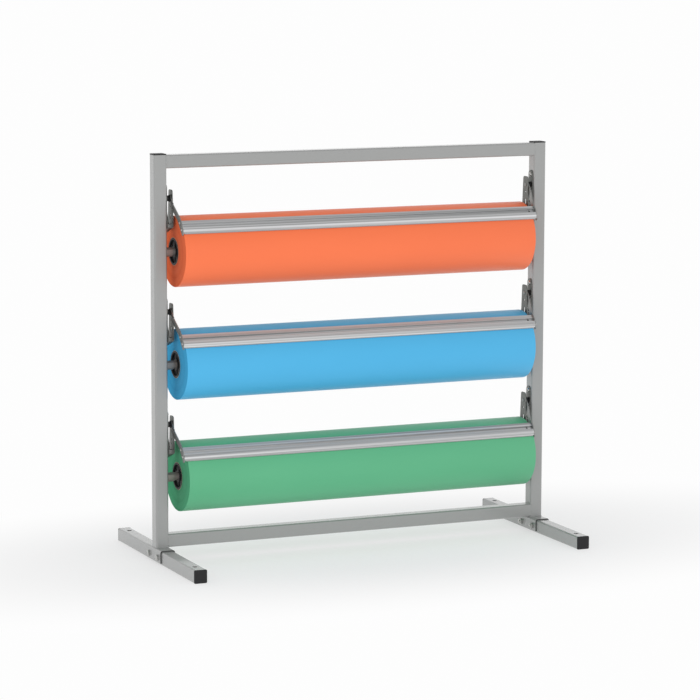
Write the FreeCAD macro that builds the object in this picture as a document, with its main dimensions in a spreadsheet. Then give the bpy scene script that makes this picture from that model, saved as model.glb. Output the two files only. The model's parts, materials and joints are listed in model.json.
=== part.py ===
import FreeCAD, Part
import math
import os
import re
import Sketcher

# Floor-standing rack for wrapping paper: three rolls lie one above another between two uprights,
# and each roll has a spring-loaded cutter bar that rests on the paper.
#
# Millimetres, +Z up. The origin is on the floor, in the middle of the two feet. X runs along the
# rolls, with the left upright at -X, and the cutter bars are on the front, at -Y.

doc = FreeCAD.newDocument("roll_rack")

# ---------------------------------------------------------------------------------------------
# Driving dimensions
# ---------------------------------------------------------------------------------------------

SIZES = (
    ("frame_width", 1020, "over the two uprights"),
    ("frame_height", 966, "floor to the top of the uprights"),
    ("tube_side", 31.75, "square tube of the whole frame, outside"),
    ("tube_wall", 1.65, "wall of that tube"),
    ("tube_corner", 4.3, "outside corner radius of that tube"),
    ("mast_set_back", 6, "uprights stand this far behind the middle of the feet"),
    ("foot_length", 523, "foot tube without its end caps"),
    ("foot_hole", 12, "hole for a floor bolt"),
    ("foot_hole_inset", 35.5, "that hole from the end of the foot tube"),
    ("cap_flange", 2.5, "thickness of an end cap's flange"),
    ("cap_depth", 14, "how far an end cap reaches into the tube"),
    ("cap_wall", 2, "wall of the cap's hollow plug"),
    ("cap_fit", 0.1, "plug to tube wall"),
    ("saddle_plate", 2.5, "plate of the saddle that carries an upright"),
    ("saddle_length", 94, "saddle along the foot"),
    ("saddle_shift", -3, "middle of the saddle from the upright, to the rear"),
    ("saddle_drop", 30, "height of the saddle's sides"),
    ("saddle_fit", 0.15, "saddle side to foot tube"),
    ("saddle_bend", 3, "inside radius of the saddle's bends"),
    ("saddle_bolt", 8, "cross bolt through saddle and foot"),
    ("saddle_bolt_pitch", 60, "between the two cross bolts"),
    ("saddle_bolt_height", 15.9, "cross bolts above the floor"),
    ("bolt_hole_fit", 0.25, "bolt to hole, radial"),
    ("hex_flats", 13, "across the flats of bolt head and nut"),
    ("hex_head", 5.3, "height of the bolt head"),
    ("hex_nut", 6.5, "height of the nut"),
    ("bolt_tail", 2.5, "bolt past its nut"),
    ("lowest_axis", 201.5, "axis of the lowest roll above the floor"),
    ("highest_drop", 228.5, "axis of the highest roll below the top of the uprights"),
    ("roll_diameter", 168, "paper roll"),
    ("roll_end_gap", 24.25, "end of a centred roll to the upright"),
    ("top_roll_shift", -3, "top roll from the middle, to the right"),
    ("middle_roll_shift", 0, "middle roll from the middle, to the right"),
    ("bottom_roll_shift", 3.7, "bottom roll from the middle, to the right"),
    ("core_bore", 60, "bore of the cardboard core"),
    ("core_wall", 3, "wall of the cardboard core"),
    ("wound_fit", 0.05, "paper to core, radial"),
    ("plug_fit", 0.1, "plug to core, radial"),
    ("plug_depth", 24, "plug in the core"),
    ("plug_rim", 2.4, "outer ring of the plug"),
    ("plug_recess", 4.5, "plug's web behind its rim"),
    ("plug_web", 2.6, "thickness of the plug's web"),
    ("plug_hub_wall", 3.6, "hub of the plug"),
    ("plug_hub_set_in", 1.2, "hub face behind the rim"),
    ("plug_rib", 1.8, "thickness of a rib"),
    ("plug_rib_set_in", 2.2, "rib behind the rim"),
    ("plug_ribs", 6, "ribs of the plug"),
    ("hub_fit", 0.05, "plug hub to axle, radial"),
    ("axle_diameter", 20, "axle tube"),
    ("axle_wall", 2, "wall of the axle tube"),
    ("axle_end_gap", 1.5, "axle end to upright"),
    ("cradle_fit", 0.3, "axle to cradle"),
    ("cradle_plate", 1.6, "plate of the cradle"),
    ("cradle_reach", 16.5, "cradle from the upright"),
    ("cradle_lip", 6, "cradle walls above the axis"),
    ("strip_plate", 2, "plate of the cutter bracket"),
    ("strip_reach", 15.6, "bracket's inner leg from the upright"),
    ("strip_bend", 2.2, "inside radius of the bracket's bends"),
    ("strip_width", 34, "bracket's foot, front to rear"),
    ("inner_leg_width", 24, "top of the bracket's inner leg, front to rear"),
    ("inner_leg_spread", 76, "height over which that leg widens to the foot"),
    ("inner_leg_top", 146, "top of the inner leg above the roll's axis"),
    ("inner_leg_corner", 6, "round corners of that top"),
    ("outer_leg_width", 22, "bracket's leg against the upright"),
    ("outer_leg_top", 161, "rounded top of that leg above the roll's axis"),
    ("strip_bottom", 43.5, "rear corner of the bracket's foot above the roll's axis"),
    ("strip_slope", 13, "front corner of that foot above the rear one"),
    ("strip_shoulder", 15, "height where the outer leg starts to narrow, above the front corner"),
    ("strip_taper", 12, "height over which it narrows"),
    ("cut_past", 0.4, "cuts reach this far past a plate's faces"),
    ("spare_hole", 6, "second pivot hole"),
    ("spare_hole_drop", 17.5, "second hole below the pivot"),
    ("slot_width", 6, "slot in the inner leg"),
    ("slot_top_drop", 34, "top of the slot below the pivot"),
    ("slot_length", 14.5, "slot end to end"),
    ("anchor_hole", 2.6, "hole for the spring's fixed end"),
    ("anchor_drop", 60.5, "that hole below the pivot"),
    ("strip_screw", 6, "screw that holds the bracket"),
    ("strip_screw_head", 12.6, "its button head"),
    ("strip_screw_crown", 10.8, "its button head, halfway up"),
    ("strip_screw_head_height", 3.2, "its button head"),
    ("strip_screw_length", 12, "its shank"),
    ("upper_screw_rise", 24.5, "upper screw above the pivot"),
    ("lower_screw_drop", 41.5, "lower screw below the pivot"),
    ("screw_fit", 0.05, "screw to its hole, radial"),
    ("pivot_rise", 125.5, "pivot above the roll's axis"),
    ("pin_diameter", 6.35, "pivot pin"),
    ("pin_fit", 0.04, "pin to the bracket's holes, radial"),
    ("pin_head", 9.5, "head of the pin"),
    ("pin_head_height", 1.2, "head of the pin"),
    ("pin_end_gap", 0.2, "pin's plain end to the upright"),
    ("bush_fit", 0.06, "bushing to pin, radial"),
    ("bush_diameter", 10, "bushing"),
    ("bush_flange", 17, "flange of the bushing"),
    ("bush_flange_plate", 1, "flange of the bushing"),
    ("bush_press", 0.01, "bushing to the arm's eye, radial"),
    ("bush_play", 0.15, "bushing to the legs of the bracket"),
    ("arm_plate", 2.25, "plate of the cutter's arm"),
    ("arm_side_gap", 0.35, "arm to the inner leg"),
    ("arm_eye_radius", 9, "eye of the arm"),
    ("arm_back", 4.6, "rear edge of the arm behind the line from the pivot"),
    ("arm_front", 9.6, "front edge of the arm before that line"),
    ("arm_shoulder", 5, "height over which the eye runs into the strip"),
    ("arm_tail", 3.5, "end of the arm past the bar's lip"),
    ("arm_tip_radius", 3, "round end of the arm"),
    ("arm_slant", 21, "slanted end of the front edge, above the tip"),
    ("arm_lean_start", 26, "where the arm starts to lean in, from the pivot"),
    ("arm_lean_run", 38, "length over which it leans in to the bar's end"),
    ("cutter_gap", 0.3, "cutter to paper"),
    ("bar_end_gap", 20, "end face of the cutter bar to the upright"),
    ("bar_above_contact", 24, "bar's upper edge above its line of contact"),
    ("bar_width", 35, "cutter bar, upper edge to lip"),
    ("bar_shoulder", 5.5, "thickness of the bar's upper flat"),
    ("bar_bevel_out", 2, "bevel on its upper front edge, across"),
    ("bar_bevel_down", 1.3, "bevel on its upper front edge, down"),
    ("bar_ridge", 7, "height of the ridge"),
    ("bar_groove", 3, "bar thickness in the groove"),
    ("bar_crown", 8, "greatest thickness of the lower flat"),
    ("bar_fall", 0.5, "lower flat thinner at its lower end"),
    ("bar_lip", 1.6, "bar thickness at the lip"),
    ("lip_bevel", 0.5, "bevel under the lip"),
    ("ridge_start", 9, "ridge from the upper edge"),
    ("ridge_width", 2.6, "ridge"),
    ("ridge_slope", 0.9, "run of the slope up to the ridge"),
    ("groove_start", 12.1, "groove from the upper edge"),
    ("groove_width", 5, "groove"),
    ("rise_run", 3.5, "slope from groove to lower flat"),
    ("flat_width", 8, "lower flat"),
    ("relief_depth", 1.2, "hollow in the bar's back"),
    ("relief_start", 4, "hollow from the upper edge"),
    ("relief_width", 14, "hollow"),
    ("blade_plate", 0.8, "blade"),
    ("blade_seat_fit", 0.05, "blade to its seat"),
    ("blade_seat", 13, "seat of the blade, from the lip"),
    ("blade_proud", 1.5, "edge past the lip"),
    ("blade_bevel", 2, "ground bevel"),
    ("blade_edge", 0.1, "thickness left at the edge"),
    ("blade_inset", 3, "end of the blade from the end of the bar"),
    ("bar_screw", 3, "screw in the bar's end"),
    ("bar_screw_head", 6, "its pan head"),
    ("bar_screw_head_height", 2, "its pan head"),
    ("bar_screw_depth", 12, "screw in the bar"),
    ("bar_screw_height", 3.3, "screw from the bar's back"),
    ("bar_screw_upper", 6, "upper screw from the bar's upper edge"),
    ("bar_screw_lower", 26, "lower screw from the bar's upper edge"),
    ("grub_diameter", 4, "grub screw in the groove"),
    ("grub_inset", 14, "grub screw from the right end of the bar"),
    ("grub_proud", 0.4, "grub screw above the groove"),
    ("grub_depth", 2, "grub screw in the bar"),
    ("wire", 1.6, "spring wire"),
    ("coil_fit", 0.35, "coil to bushing, radial"),
    ("coil_turns", 3, "whole turns of the coil"),
    ("coil_gap", 0.06, "between two turns"),
    ("coil_clear", 0.3, "first turn to the leg on the upright"),
    ("anchor_bend", 9, "corner of the fixed leg from the upright"),
    ("spring_reach", 23, "moving leg along the arm"),
    ("spring_bend", 2.2, "bend radius of the wire's ends"),
    ("spring_clear", 0.3, "spring's moving end to the arm"),
)

sheet = doc.addObject("Spreadsheet::Sheet", "Sizes")
for row, (alias, number, meaning) in enumerate(SIZES, start=1):
    sheet.set(f"A{row}", meaning)
    sheet.set(f"B{row}", str(number))
    sheet.setAlias(f"B{row}", alias)

# Places that follow from the driving dimensions.
WORKED_OUT = (
    ("inner_face", "frame_width / 2 - tube_side"),
    ("mast_x", "frame_width / 2 - tube_side / 2"),
    ("saddle_half", "tube_side / 2 + saddle_fit + saddle_plate"),
    ("mast_foot", "tube_side + saddle_plate"),
    ("mast_length", "frame_height - mast_foot"),
    ("bottom_axis", "lowest_axis"),
    ("top_axis", "frame_height - highest_drop"),
    ("middle_axis", "(bottom_axis + top_axis) / 2"),
    ("roll_length", "2 * (inner_face - roll_end_gap)"),
    ("axle_radius", "axle_diameter / 2"),
    ("axle_half", "inner_face - axle_end_gap"),
    ("core_radius", "core_bore / 2 + core_wall"),
    ("plug_radius", "core_bore / 2 - plug_fit"),
    ("plug_bore", "axle_radius + hub_fit"),
    ("plug_hub", "plug_bore + plug_hub_wall"),
    ("cradle_radius", "axle_radius + cradle_fit"),
    ("eye_out", "strip_reach - strip_plate - arm_side_gap - arm_plate"),
    ("eye_in", "eye_out + arm_plate"),
    ("bar_end", "inner_face - bar_end_gap"),
    ("reach", "roll_diameter / 2 + cutter_gap"),
    ("tilt", "asin(reach / pivot_rise)"),
    ("contact", "sqrt(pivot_rise ^ 2 - reach ^ 2)"),
    ("bar_top", "contact - bar_above_contact"),
    ("bar_bottom", "bar_top + bar_width"),
    ("arm_tip", "bar_bottom + arm_tail"),
    ("arm_neck", "arm_eye_radius + arm_shoulder"),
    ("arm_lean_end", "arm_lean_start + arm_lean_run"),
    ("grub_height", "bar_top + groove_start + groove_width / 2"),
    ("coil_radius", "bush_diameter / 2 + coil_fit + wire / 2"),
)

layout = doc.addObject("Spreadsheet::Sheet", "Layout")
SHEET_OF = {alias: "Sizes." for alias, number, meaning in SIZES}


def cells(expression):
    """The expression with each alias written the way another object has to name it."""
    return re.sub(r"[a-z_]{3,}", lambda word: SHEET_OF.get(word[0], "") + word[0], expression)


for row, (alias, formula) in enumerate(WORKED_OUT, start=1):
    layout.set(f"A{row}", alias.replace("_", " "))
    layout.set(f"B{row}", "=" + cells(formula))
    layout.setAlias(f"B{row}", alias)
    SHEET_OF[alias] = ""
for alias, formula in WORKED_OUT:
    SHEET_OF[alias] = "Layout."
doc.recompute()


def value(expression):
    """The number that an expression gives now."""
    result = layout.evalExpression(cells(expression).replace("Layout.", ""))
    return float(getattr(result, "Value", result))


# ---------------------------------------------------------------------------------------------
# Drawing helpers
# ---------------------------------------------------------------------------------------------

SIDES = (("left", -1), ("right", 1))
DECKS = ("top", "middle", "bottom")


def bind(thing, name, expression):
    thing.setExpression(name, cells(expression))


def place(thing, x="0", y="0", z="0"):
    """Put a sub-part's own origin at a point of the rack."""
    for axis, expression in zip("xyz", (x, y, z)):
        bind(thing, f"Placement.Base.{axis}", expression)


def new_body(label, x="0", y="mast_set_back", z="0"):
    body = doc.addObject("PartDesign::Body", label)
    body.Label = label
    body.AllowCompound = True
    place(body, x, y, z)
    return body


def origin_item(body, role):
    return [item for item in body.Origin.OriginFeatures if item.Role == role][0]


def new_sketch(body, plane, offset="0"):
    """A sketch on one of the body's own origin planes, moved along the plane's normal."""
    sketch = body.newObject("Sketcher::SketchObject", body.Name + "_sketch")
    sketch.AttachmentSupport = (origin_item(body, plane + "_Plane"), [""])
    sketch.MapMode = "FlatFace"
    bind(sketch, "AttachmentOffset.Base.z", offset)
    return sketch


def dimension(sketch, constraint, expression):
    index = sketch.addConstraint(constraint)
    bind(sketch, f"Constraints[{index}]", expression)


def pin(sketch, geometry, point, x=None, y=None):
    """Hold a point of a sketch at the places that two expressions give."""
    for kind, expression in (("DistanceX", x), ("DistanceY", y)):
        if expression is not None:
            constraint = Sketcher.Constraint(kind, -1, 1, geometry, point, value(expression))
            dimension(sketch, constraint, expression)


def circle(sketch, x, y, diameter):
    centre = FreeCAD.Vector(value(x), value(y), 0)
    ring = Part.Circle(centre, FreeCAD.Vector(0, 0, 1), value(diameter) / 2)
    index = sketch.addGeometry(ring, False)
    pin(sketch, index, 3, x, y)
    dimension(sketch, Sketcher.Constraint("Diameter", index, value(diameter)), diameter)


def arc_between(sketch, start, end, centre, turn):
    """An arc from start to end about a centre; turn is 1 to the left and -1 to the right."""
    middle = FreeCAD.Vector(value(centre[0]), value(centre[1]), 0)
    first, last = (start, end) if turn > 0 else (end, start)
    angles = [math.atan2(point.y - middle.y, point.x - middle.x) for point in (first, last)]
    ring = Part.Circle(middle, FreeCAD.Vector(0, 0, 1), (first - middle).Length)
    index = sketch.addGeometry(Part.ArcOfCircle(ring, angles[0], angles[1]), False)
    chord = end - start
    if abs(chord.x) > abs(chord.y):
        pin(sketch, index, 3, y=centre[1])
    else:
        pin(sketch, index, 3, x=centre[0])
    return (index, 1, 2) if turn > 0 else (index, 2, 1)


def outline(sketch, corners):
    """One closed outline. A corner is (x, y), or (x, y, centre, turn) where an arc follows it."""
    points = [FreeCAD.Vector(value(corner[0]), value(corner[1]), 0) for corner in corners]
    pieces = []
    for number, corner in enumerate(corners):
        start = points[number]
        end = points[(number + 1) % len(points)]
        if len(corner) == 2:
            pieces.append((sketch.addGeometry(Part.LineSegment(start, end), False), 1, 2))
        else:
            pieces.append(arc_between(sketch, start, end, corner[2], corner[3]))
    for number, corner in enumerate(corners):
        before = pieces[number - 1]
        here = pieces[number]
        sketch.addConstraint(Sketcher.Constraint("Coincident", before[0], before[2], here[0], here[1]))
        pin(sketch, here[0], here[1], corner[0], corner[1])


def rounded_square(sketch, side, radius, x="0"):
    """A square with round corners, its middle at x on the sketch's first axis."""
    far, near = f"(({side}) / 2)", f"(({side}) / 2 - ({radius}))"
    corners = []
    for right, up in ((1, 1), (-1, 1), (-1, -1), (1, -1)):
        centre = (f"{x} + {right} * {near}", f"{up} * {near}")
        on_side = (f"{x} + {right} * {far}", centre[1])
        on_top = (centre[0], f"{up} * {far}")
        first, last = (on_side, on_top) if right == up else (on_top, on_side)
        corners.append((first[0], first[1], centre, 1))
        corners.append(last)
    outline(sketch, corners)


def pad(body, sketch, length, symmetric=False, reverse=False):
    feature = body.newObject("PartDesign::Pad", body.Name + "_pad")
    feature.Profile = (sketch, [""])
    feature.SideType = "Symmetric" if symmetric else "One side"
    feature.Reversed = reverse
    bind(feature, "Length", length)
    return feature


def pocket(body, sketch, length=None, reverse=False):
    """Cut a sketch out of the body: to a depth on one side, or right through on both."""
    feature = body.newObject("PartDesign::Pocket", body.Name + "_pocket")
    feature.Profile = (sketch, [""])
    if length is None:
        feature.Type = "ThroughAll"
        feature.SideType = "Symmetric"
    else:
        feature.Reversed = reverse
        bind(feature, "Length", length)
    return feature


def turned(body, points, axis="X_Axis"):
    """Revolve a profile, drawn in the XZ plane, about an axis of the body."""
    sketch = new_sketch(body, "XZ")
    outline(sketch, points)
    feature = body.newObject("PartDesign::Revolution", body.Name + "_turned")
    feature.Profile = (sketch, [""])
    feature.ReferenceAxis = (origin_item(body, axis), [""])
    feature.Angle = 360
    return feature


def mirrored(body, plane="YZ"):
    """Add the mirror image of everything that the body holds so far."""
    doc.recompute()
    feature = body.newObject("PartDesign::Mirrored", body.Name + "_mirror")
    feature.MirrorPlane = (origin_item(body, plane + "_Plane"), [""])
    feature.TransformMode = "Whole shape"
    body.Tip = feature
    return feature


def repeated(body, axis, length, count):
    """Repeat everything that the body holds along an axis, over a length."""
    doc.recompute()
    feature = body.newObject("PartDesign::LinearPattern", body.Name + "_row")
    feature.Direction = (origin_item(body, axis), [""])
    feature.TransformMode = "Whole shape"
    feature.Occurrences = count
    bind(feature, "Length", length)
    body.Tip = feature
    return feature


# ---------------------------------------------------------------------------------------------
# Frame
# ---------------------------------------------------------------------------------------------


def square_tube(body, sketch_plane, length, symmetric):
    sketch = new_sketch(body, sketch_plane)
    rounded_square(sketch, "tube_side", "tube_corner")
    rounded_square(sketch, "tube_side - 2 * tube_wall", "tube_corner - tube_wall")
    pad(body, sketch, length, symmetric)


def upright(label, side):
    """Upright tube, with the threaded holes for the bracket screws in its inner wall."""
    body = new_body(label, x=f"{side} * mast_x", z="mast_foot")
    square_tube(body, "XY", "mast_length", False)
    holes = new_sketch(body, "YZ", f"{-side} * tube_side / 2")
    for deck in DECKS:
        for rise in ("upper_screw_rise", "-lower_screw_drop"):
            height = f"{deck}_axis + pivot_rise + {rise} - mast_foot"
            circle(holes, "0", height, "strip_screw + 2 * screw_fit")
    pocket(body, holes, "2 * tube_wall", reverse=side > 0)


def rail(label, height):
    body = new_body(label, z=height)
    square_tube(body, "YZ", "2 * inner_face", True)


def foot(label, side):
    """Foot tube, with two floor bolt holes from above and two cross bolt holes."""
    body = new_body(label, x=f"{side} * mast_x", y="0", z="tube_side / 2")
    square_tube(body, "XZ", "foot_length", True)
    floor_holes = new_sketch(body, "XY")
    for end in (-1, 1):
        circle(floor_holes, "0", f"{end} * (foot_length / 2 - foot_hole_inset)", "foot_hole")
    pocket(body, floor_holes)
    cross_holes = new_sketch(body, "YZ")
    for end in (-1, 1):
        circle(
            cross_holes,
            f"mast_set_back + saddle_shift + {end} * saddle_bolt_pitch / 2",
            "saddle_bolt_height - tube_side / 2",
            "saddle_bolt + 2 * bolt_hole_fit",
        )
    pocket(body, cross_holes)


def saddle(label, side):
    """Plate bent over the foot; the upright is welded on its top."""
    body = new_body(label, x=f"{side} * mast_x", y="mast_set_back + saddle_shift", z="tube_side")
    inside = "(tube_side / 2 + saddle_fit)"
    low = "(saddle_plate - saddle_drop)"
    outer_bend = "(saddle_bend + saddle_plate)"
    sketch = new_sketch(body, "XZ")
    outline(
        sketch,
        (
            ("saddle_half", low),
            ("saddle_half", "-saddle_bend", (f"{inside} - saddle_bend", "-saddle_bend"), 1),
            (f"saddle_half - {outer_bend}", "saddle_plate"),
            (f"{outer_bend} - saddle_half", "saddle_plate", (f"saddle_bend - {inside}", "-saddle_bend"), 1),
            ("-saddle_half", "-saddle_bend"),
            ("-saddle_half", low),
            (f"-{inside}", low),
            (f"-{inside}", "-saddle_bend", (f"saddle_bend - {inside}", "-saddle_bend"), -1),
            (f"saddle_bend - {inside}", "0"),
            (f"{inside} - saddle_bend", "0", (f"{inside} - saddle_bend", "-saddle_bend"), -1),
            (inside, "-saddle_bend"),
            (inside, low),
        ),
    )
    pad(body, sketch, "saddle_length", symmetric=True)
    holes = new_sketch(body, "YZ")
    for end in (-1, 1):
        circle(
            holes,
            f"{end} * saddle_bolt_pitch / 2",
            "saddle_bolt_height - tube_side",
            "saddle_bolt + 2 * bolt_hole_fit",
        )
    pocket(body, holes)


def end_cap(body, plane, offset="0", x="0"):
    """Cap on the end of a tube: the flange outside, the hollow plug inside."""
    flange = new_sketch(body, plane, offset)
    rounded_square(flange, "tube_side", "tube_corner", x)
    pad(body, flange, "cap_flange")
    plug_side = "tube_side - 2 * tube_wall - 2 * cap_fit"
    plug_corner = "tube_corner - tube_wall"
    plug = new_sketch(body, plane, offset)
    rounded_square(plug, plug_side, plug_corner, x)
    rounded_square(plug, f"{plug_side} - 2 * cap_wall", f"({plug_corner}) / 2", x)
    pad(body, plug, "cap_depth", reverse=True)


def hexagon(sketch, flats):
    """A hexagon about the sketch's origin, standing on a corner."""
    corners = []
    for number in range(6):
        turn = f"({60 * number})"
        radius = f"{flats} / 2 / cos(30)"
        corners.append((f"{radius} * sin({turn})", f"{radius} * cos({turn})"))
    outline(sketch, corners)


def saddle_fasteners(label, shape):
    """Four equal bolts or nuts, two on each saddle."""
    body = new_body(label, y="mast_set_back + saddle_shift - saddle_bolt_pitch / 2", z="saddle_bolt_height")
    shape(body)
    repeated(body, "Y_Axis", "saddle_bolt_pitch", 2)
    mirrored(body)


def cross_bolt(body):
    """Hexagon bolt with its head on the saddle's outer side."""
    head = new_sketch(body, "YZ", "mast_x + saddle_half")
    hexagon(head, "hex_flats")
    pad(body, head, "hex_head")
    shank = new_sketch(body, "YZ", "mast_x + saddle_half")
    circle(shank, "0", "0", "saddle_bolt")
    pad(body, shank, "2 * saddle_half + hex_nut + bolt_tail", reverse=True)


def cross_nut(body):
    """Nut on the saddle's inner side."""
    sketch = new_sketch(body, "YZ", "mast_x - saddle_half")
    hexagon(sketch, "hex_flats")
    circle(sketch, "0", "0", "saddle_bolt + 2 * screw_fit")
    pad(body, sketch, "hex_nut", reverse=True)


for name, sign in SIDES:
    upright(f"{name}_upright", sign)
    foot(f"{name}_foot", sign)
    saddle(f"{name}_saddle", sign)
    foot_caps = new_body(f"{name}_foot_caps", x=f"{sign} * mast_x", y="0", z="tube_side / 2")
    end_cap(foot_caps, "XZ", "foot_length / 2")
    mirrored(foot_caps, "XZ")

rail("top_rail", "frame_height - tube_side / 2")
rail("bottom_rail", "mast_foot + tube_side / 2")

upright_caps = new_body("upright_caps", z="frame_height")
end_cap(upright_caps, "XY", x="mast_x")
mirrored(upright_caps)

saddle_fasteners("saddle_bolts", cross_bolt)
saddle_fasteners("saddle_nuts", cross_nut)

# ---------------------------------------------------------------------------------------------
# Brackets that carry the cutters, and the troughs that carry the axles
# ---------------------------------------------------------------------------------------------


def bracket(label, side, axis):
    """One bent strip: a leg on the upright, a slanted foot, and the leg that holds the cutter."""
    body = new_body(label, x=f"{side} * inner_face", z=axis)
    inward = -side
    turn = inward
    bend = "(strip_bend + strip_plate)"
    top = "(outer_leg_top + strip_plate)"
    sketch = new_sketch(body, "XZ", "-strip_width / 2")
    outline(
        sketch,
        (
            ("0", top),
            ("0", f"strip_bottom + {bend}", (f"{inward} * {bend}", f"strip_bottom + {bend}"), turn),
            (f"{inward} * {bend}", "strip_bottom"),
            (
                f"{inward} * (strip_reach - {bend})",
                "strip_bottom",
                (f"{inward} * (strip_reach - {bend})", f"strip_bottom + {bend}"),
                turn,
            ),
            (f"{inward} * strip_reach", f"strip_bottom + {bend}"),
            (f"{inward} * strip_reach", top),
            (f"{inward} * (strip_reach - strip_plate)", top),
            (
                f"{inward} * (strip_reach - strip_plate)",
                f"strip_bottom + {bend}",
                (f"{inward} * (strip_reach - {bend})", f"strip_bottom + {bend}"),
                -turn,
            ),
            (f"{inward} * (strip_reach - {bend})", "strip_bottom + strip_plate"),
            (
                f"{inward} * {bend}",
                "strip_bottom + strip_plate",
                (f"{inward} * {bend}", f"strip_bottom + {bend}"),
                -turn,
            ),
            (f"{inward} * strip_plate", f"strip_bottom + {bend}"),
            (f"{inward} * strip_plate", top),
        ),
    )
    channel = pad(body, sketch, "strip_width")
    channel.UseCustomVector = True
    channel.Direction = FreeCAD.Vector(0, -1, 0)
    bind(channel, "Direction.z", "strip_slope / strip_width")

    shoulder = "(strip_bottom + strip_slope + strip_shoulder)"
    far_side = "strip_width"
    far_top = "(outer_leg_top + 2 * strip_slope)"
    half = "outer_leg_width / 2"
    round_centre = f"(outer_leg_top - {half})"
    trim = new_sketch(body, "YZ", f"{inward} * (strip_plate + cut_past)")
    outline(
        trim,
        (
            (f"-{far_side}", shoulder),
            (f"-{far_side}", far_top),
            (far_side, far_top),
            (far_side, shoulder),
            ("strip_width / 2", shoulder),
            (half, f"{shoulder} + strip_taper"),
            (half, round_centre, ("0", round_centre), 1),
            (f"-{half}", round_centre),
            (f"-{half}", f"{shoulder} + strip_taper"),
            ("-strip_width / 2", shoulder),
        ),
    )
    pocket(body, trim, "strip_plate + 2 * cut_past", reverse=side > 0)
    outer_holes = new_sketch(body, "YZ", f"{inward} * (strip_plate + cut_past)")
    circle(outer_holes, "0", "pivot_rise", "pin_diameter + 2 * pin_fit")
    circle(outer_holes, "0", "pivot_rise + upper_screw_rise", "strip_screw + 2 * screw_fit")
    circle(outer_holes, "0", "pivot_rise - lower_screw_drop", "strip_screw + 2 * screw_fit")
    pocket(body, outer_holes, "strip_plate + 2 * cut_past", reverse=side > 0)

    start = f"{inward} * (strip_reach - strip_plate - cut_past)"
    spread = "(inner_leg_top - inner_leg_spread)"
    corner_height = "(inner_leg_top - inner_leg_corner)"
    edge = "(inner_leg_width / 2)"
    corner = "(inner_leg_width / 2 - inner_leg_corner)"
    leg_end = new_sketch(body, "YZ", start)
    outline(
        leg_end,
        (
            (f"-{far_side}", spread),
            (f"-{far_side}", far_top),
            (far_side, far_top),
            (far_side, spread),
            ("strip_width / 2", spread),
            (edge, corner_height, (corner, corner_height), 1),
            (corner, "inner_leg_top"),
            (f"-{corner}", "inner_leg_top", (f"-{corner}", corner_height), 1),
            (f"-{edge}", corner_height),
            ("-strip_width / 2", spread),
        ),
    )
    pocket(body, leg_end, "strip_plate + 2 * cut_past", reverse=side < 0)
    inner_holes = new_sketch(body, "YZ", start)
    circle(inner_holes, "0", "pivot_rise", "pin_diameter + 2 * pin_fit")
    circle(inner_holes, "0", "pivot_rise - spare_hole_drop", "spare_hole")
    circle(inner_holes, "0", "pivot_rise - anchor_drop", "anchor_hole")
    slot_top = "(pivot_rise - slot_top_drop - slot_width / 2)"
    slot_low = "(pivot_rise - slot_top_drop - slot_length + slot_width / 2)"
    outline(
        inner_holes,
        (
            ("slot_width / 2", slot_low),
            ("slot_width / 2", slot_top, ("0", slot_top), 1),
            ("-slot_width / 2", slot_top),
            ("-slot_width / 2", slot_low, ("0", slot_low), 1),
        ),
    )
    pocket(body, inner_holes, "strip_plate + 2 * cut_past", reverse=side < 0)


def cradles(label, axis):
    """Open-topped troughs, one welded on each upright, that the axle drops into."""
    body = new_body(label, z=axis)
    outside = "(cradle_radius + cradle_plate)"
    sketch = new_sketch(body, "YZ", "inner_face")
    outline(
        sketch,
        (
            (f"-{outside}", "cradle_lip"),
            (f"-{outside}", "0", ("0", "0"), 1),
            (outside, "0"),
            (outside, "cradle_lip"),
            ("cradle_radius", "cradle_lip"),
            ("cradle_radius", "0", ("0", "0"), -1),
            ("-cradle_radius", "0"),
            ("-cradle_radius", "cradle_lip"),
        ),
    )
    pad(body, sketch, "cradle_reach", reverse=True)
    mirrored(body)


def bracket_screws(label):
    """Button-head screws, two through each bracket into the wall of the upright."""
    body = new_body(label, z="bottom_axis + pivot_rise - lower_screw_drop")
    head = "strip_screw_head / 2"
    shank = "strip_screw / 2"
    face = "(inner_face - strip_plate)"
    turned(
        body,
        (
            (f"{face} - strip_screw_head_height", "0"),
            (f"{face} - strip_screw_head_height", f"{shank}"),
            (f"{face} - strip_screw_head_height / 2", "strip_screw_crown / 2"),
            (face, head),
            (face, shank),
            (f"{face} + strip_screw_length", shank),
            (f"{face} + strip_screw_length", "0"),
        ),
    )
    repeated(body, "Z_Axis", "lower_screw_drop + upper_screw_rise", 2)
    repeated(body, "Z_Axis", "top_axis - bottom_axis", len(DECKS))
    mirrored(body)


# ---------------------------------------------------------------------------------------------
# Pivots: pin, bushing and torsion spring
# ---------------------------------------------------------------------------------------------


def pivot_pins(label, axis):
    """Flat-headed pins through both legs of the brackets."""
    body = new_body(label, z=f"{axis} + pivot_rise")
    inner = "(inner_face - strip_reach)"
    turned(
        body,
        (
            (f"{inner} - pin_head_height", "0"),
            (f"{inner} - pin_head_height", "pin_head / 2 - pin_head_height / 2"),
            (f"{inner} - pin_head_height / 2", "pin_head / 2"),
            (inner, "pin_head / 2"),
            (inner, "pin_diameter / 2"),
            ("inner_face - pin_end_gap", "pin_diameter / 2"),
            ("inner_face - pin_end_gap", "0"),
        ),
    )
    mirrored(body)


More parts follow.
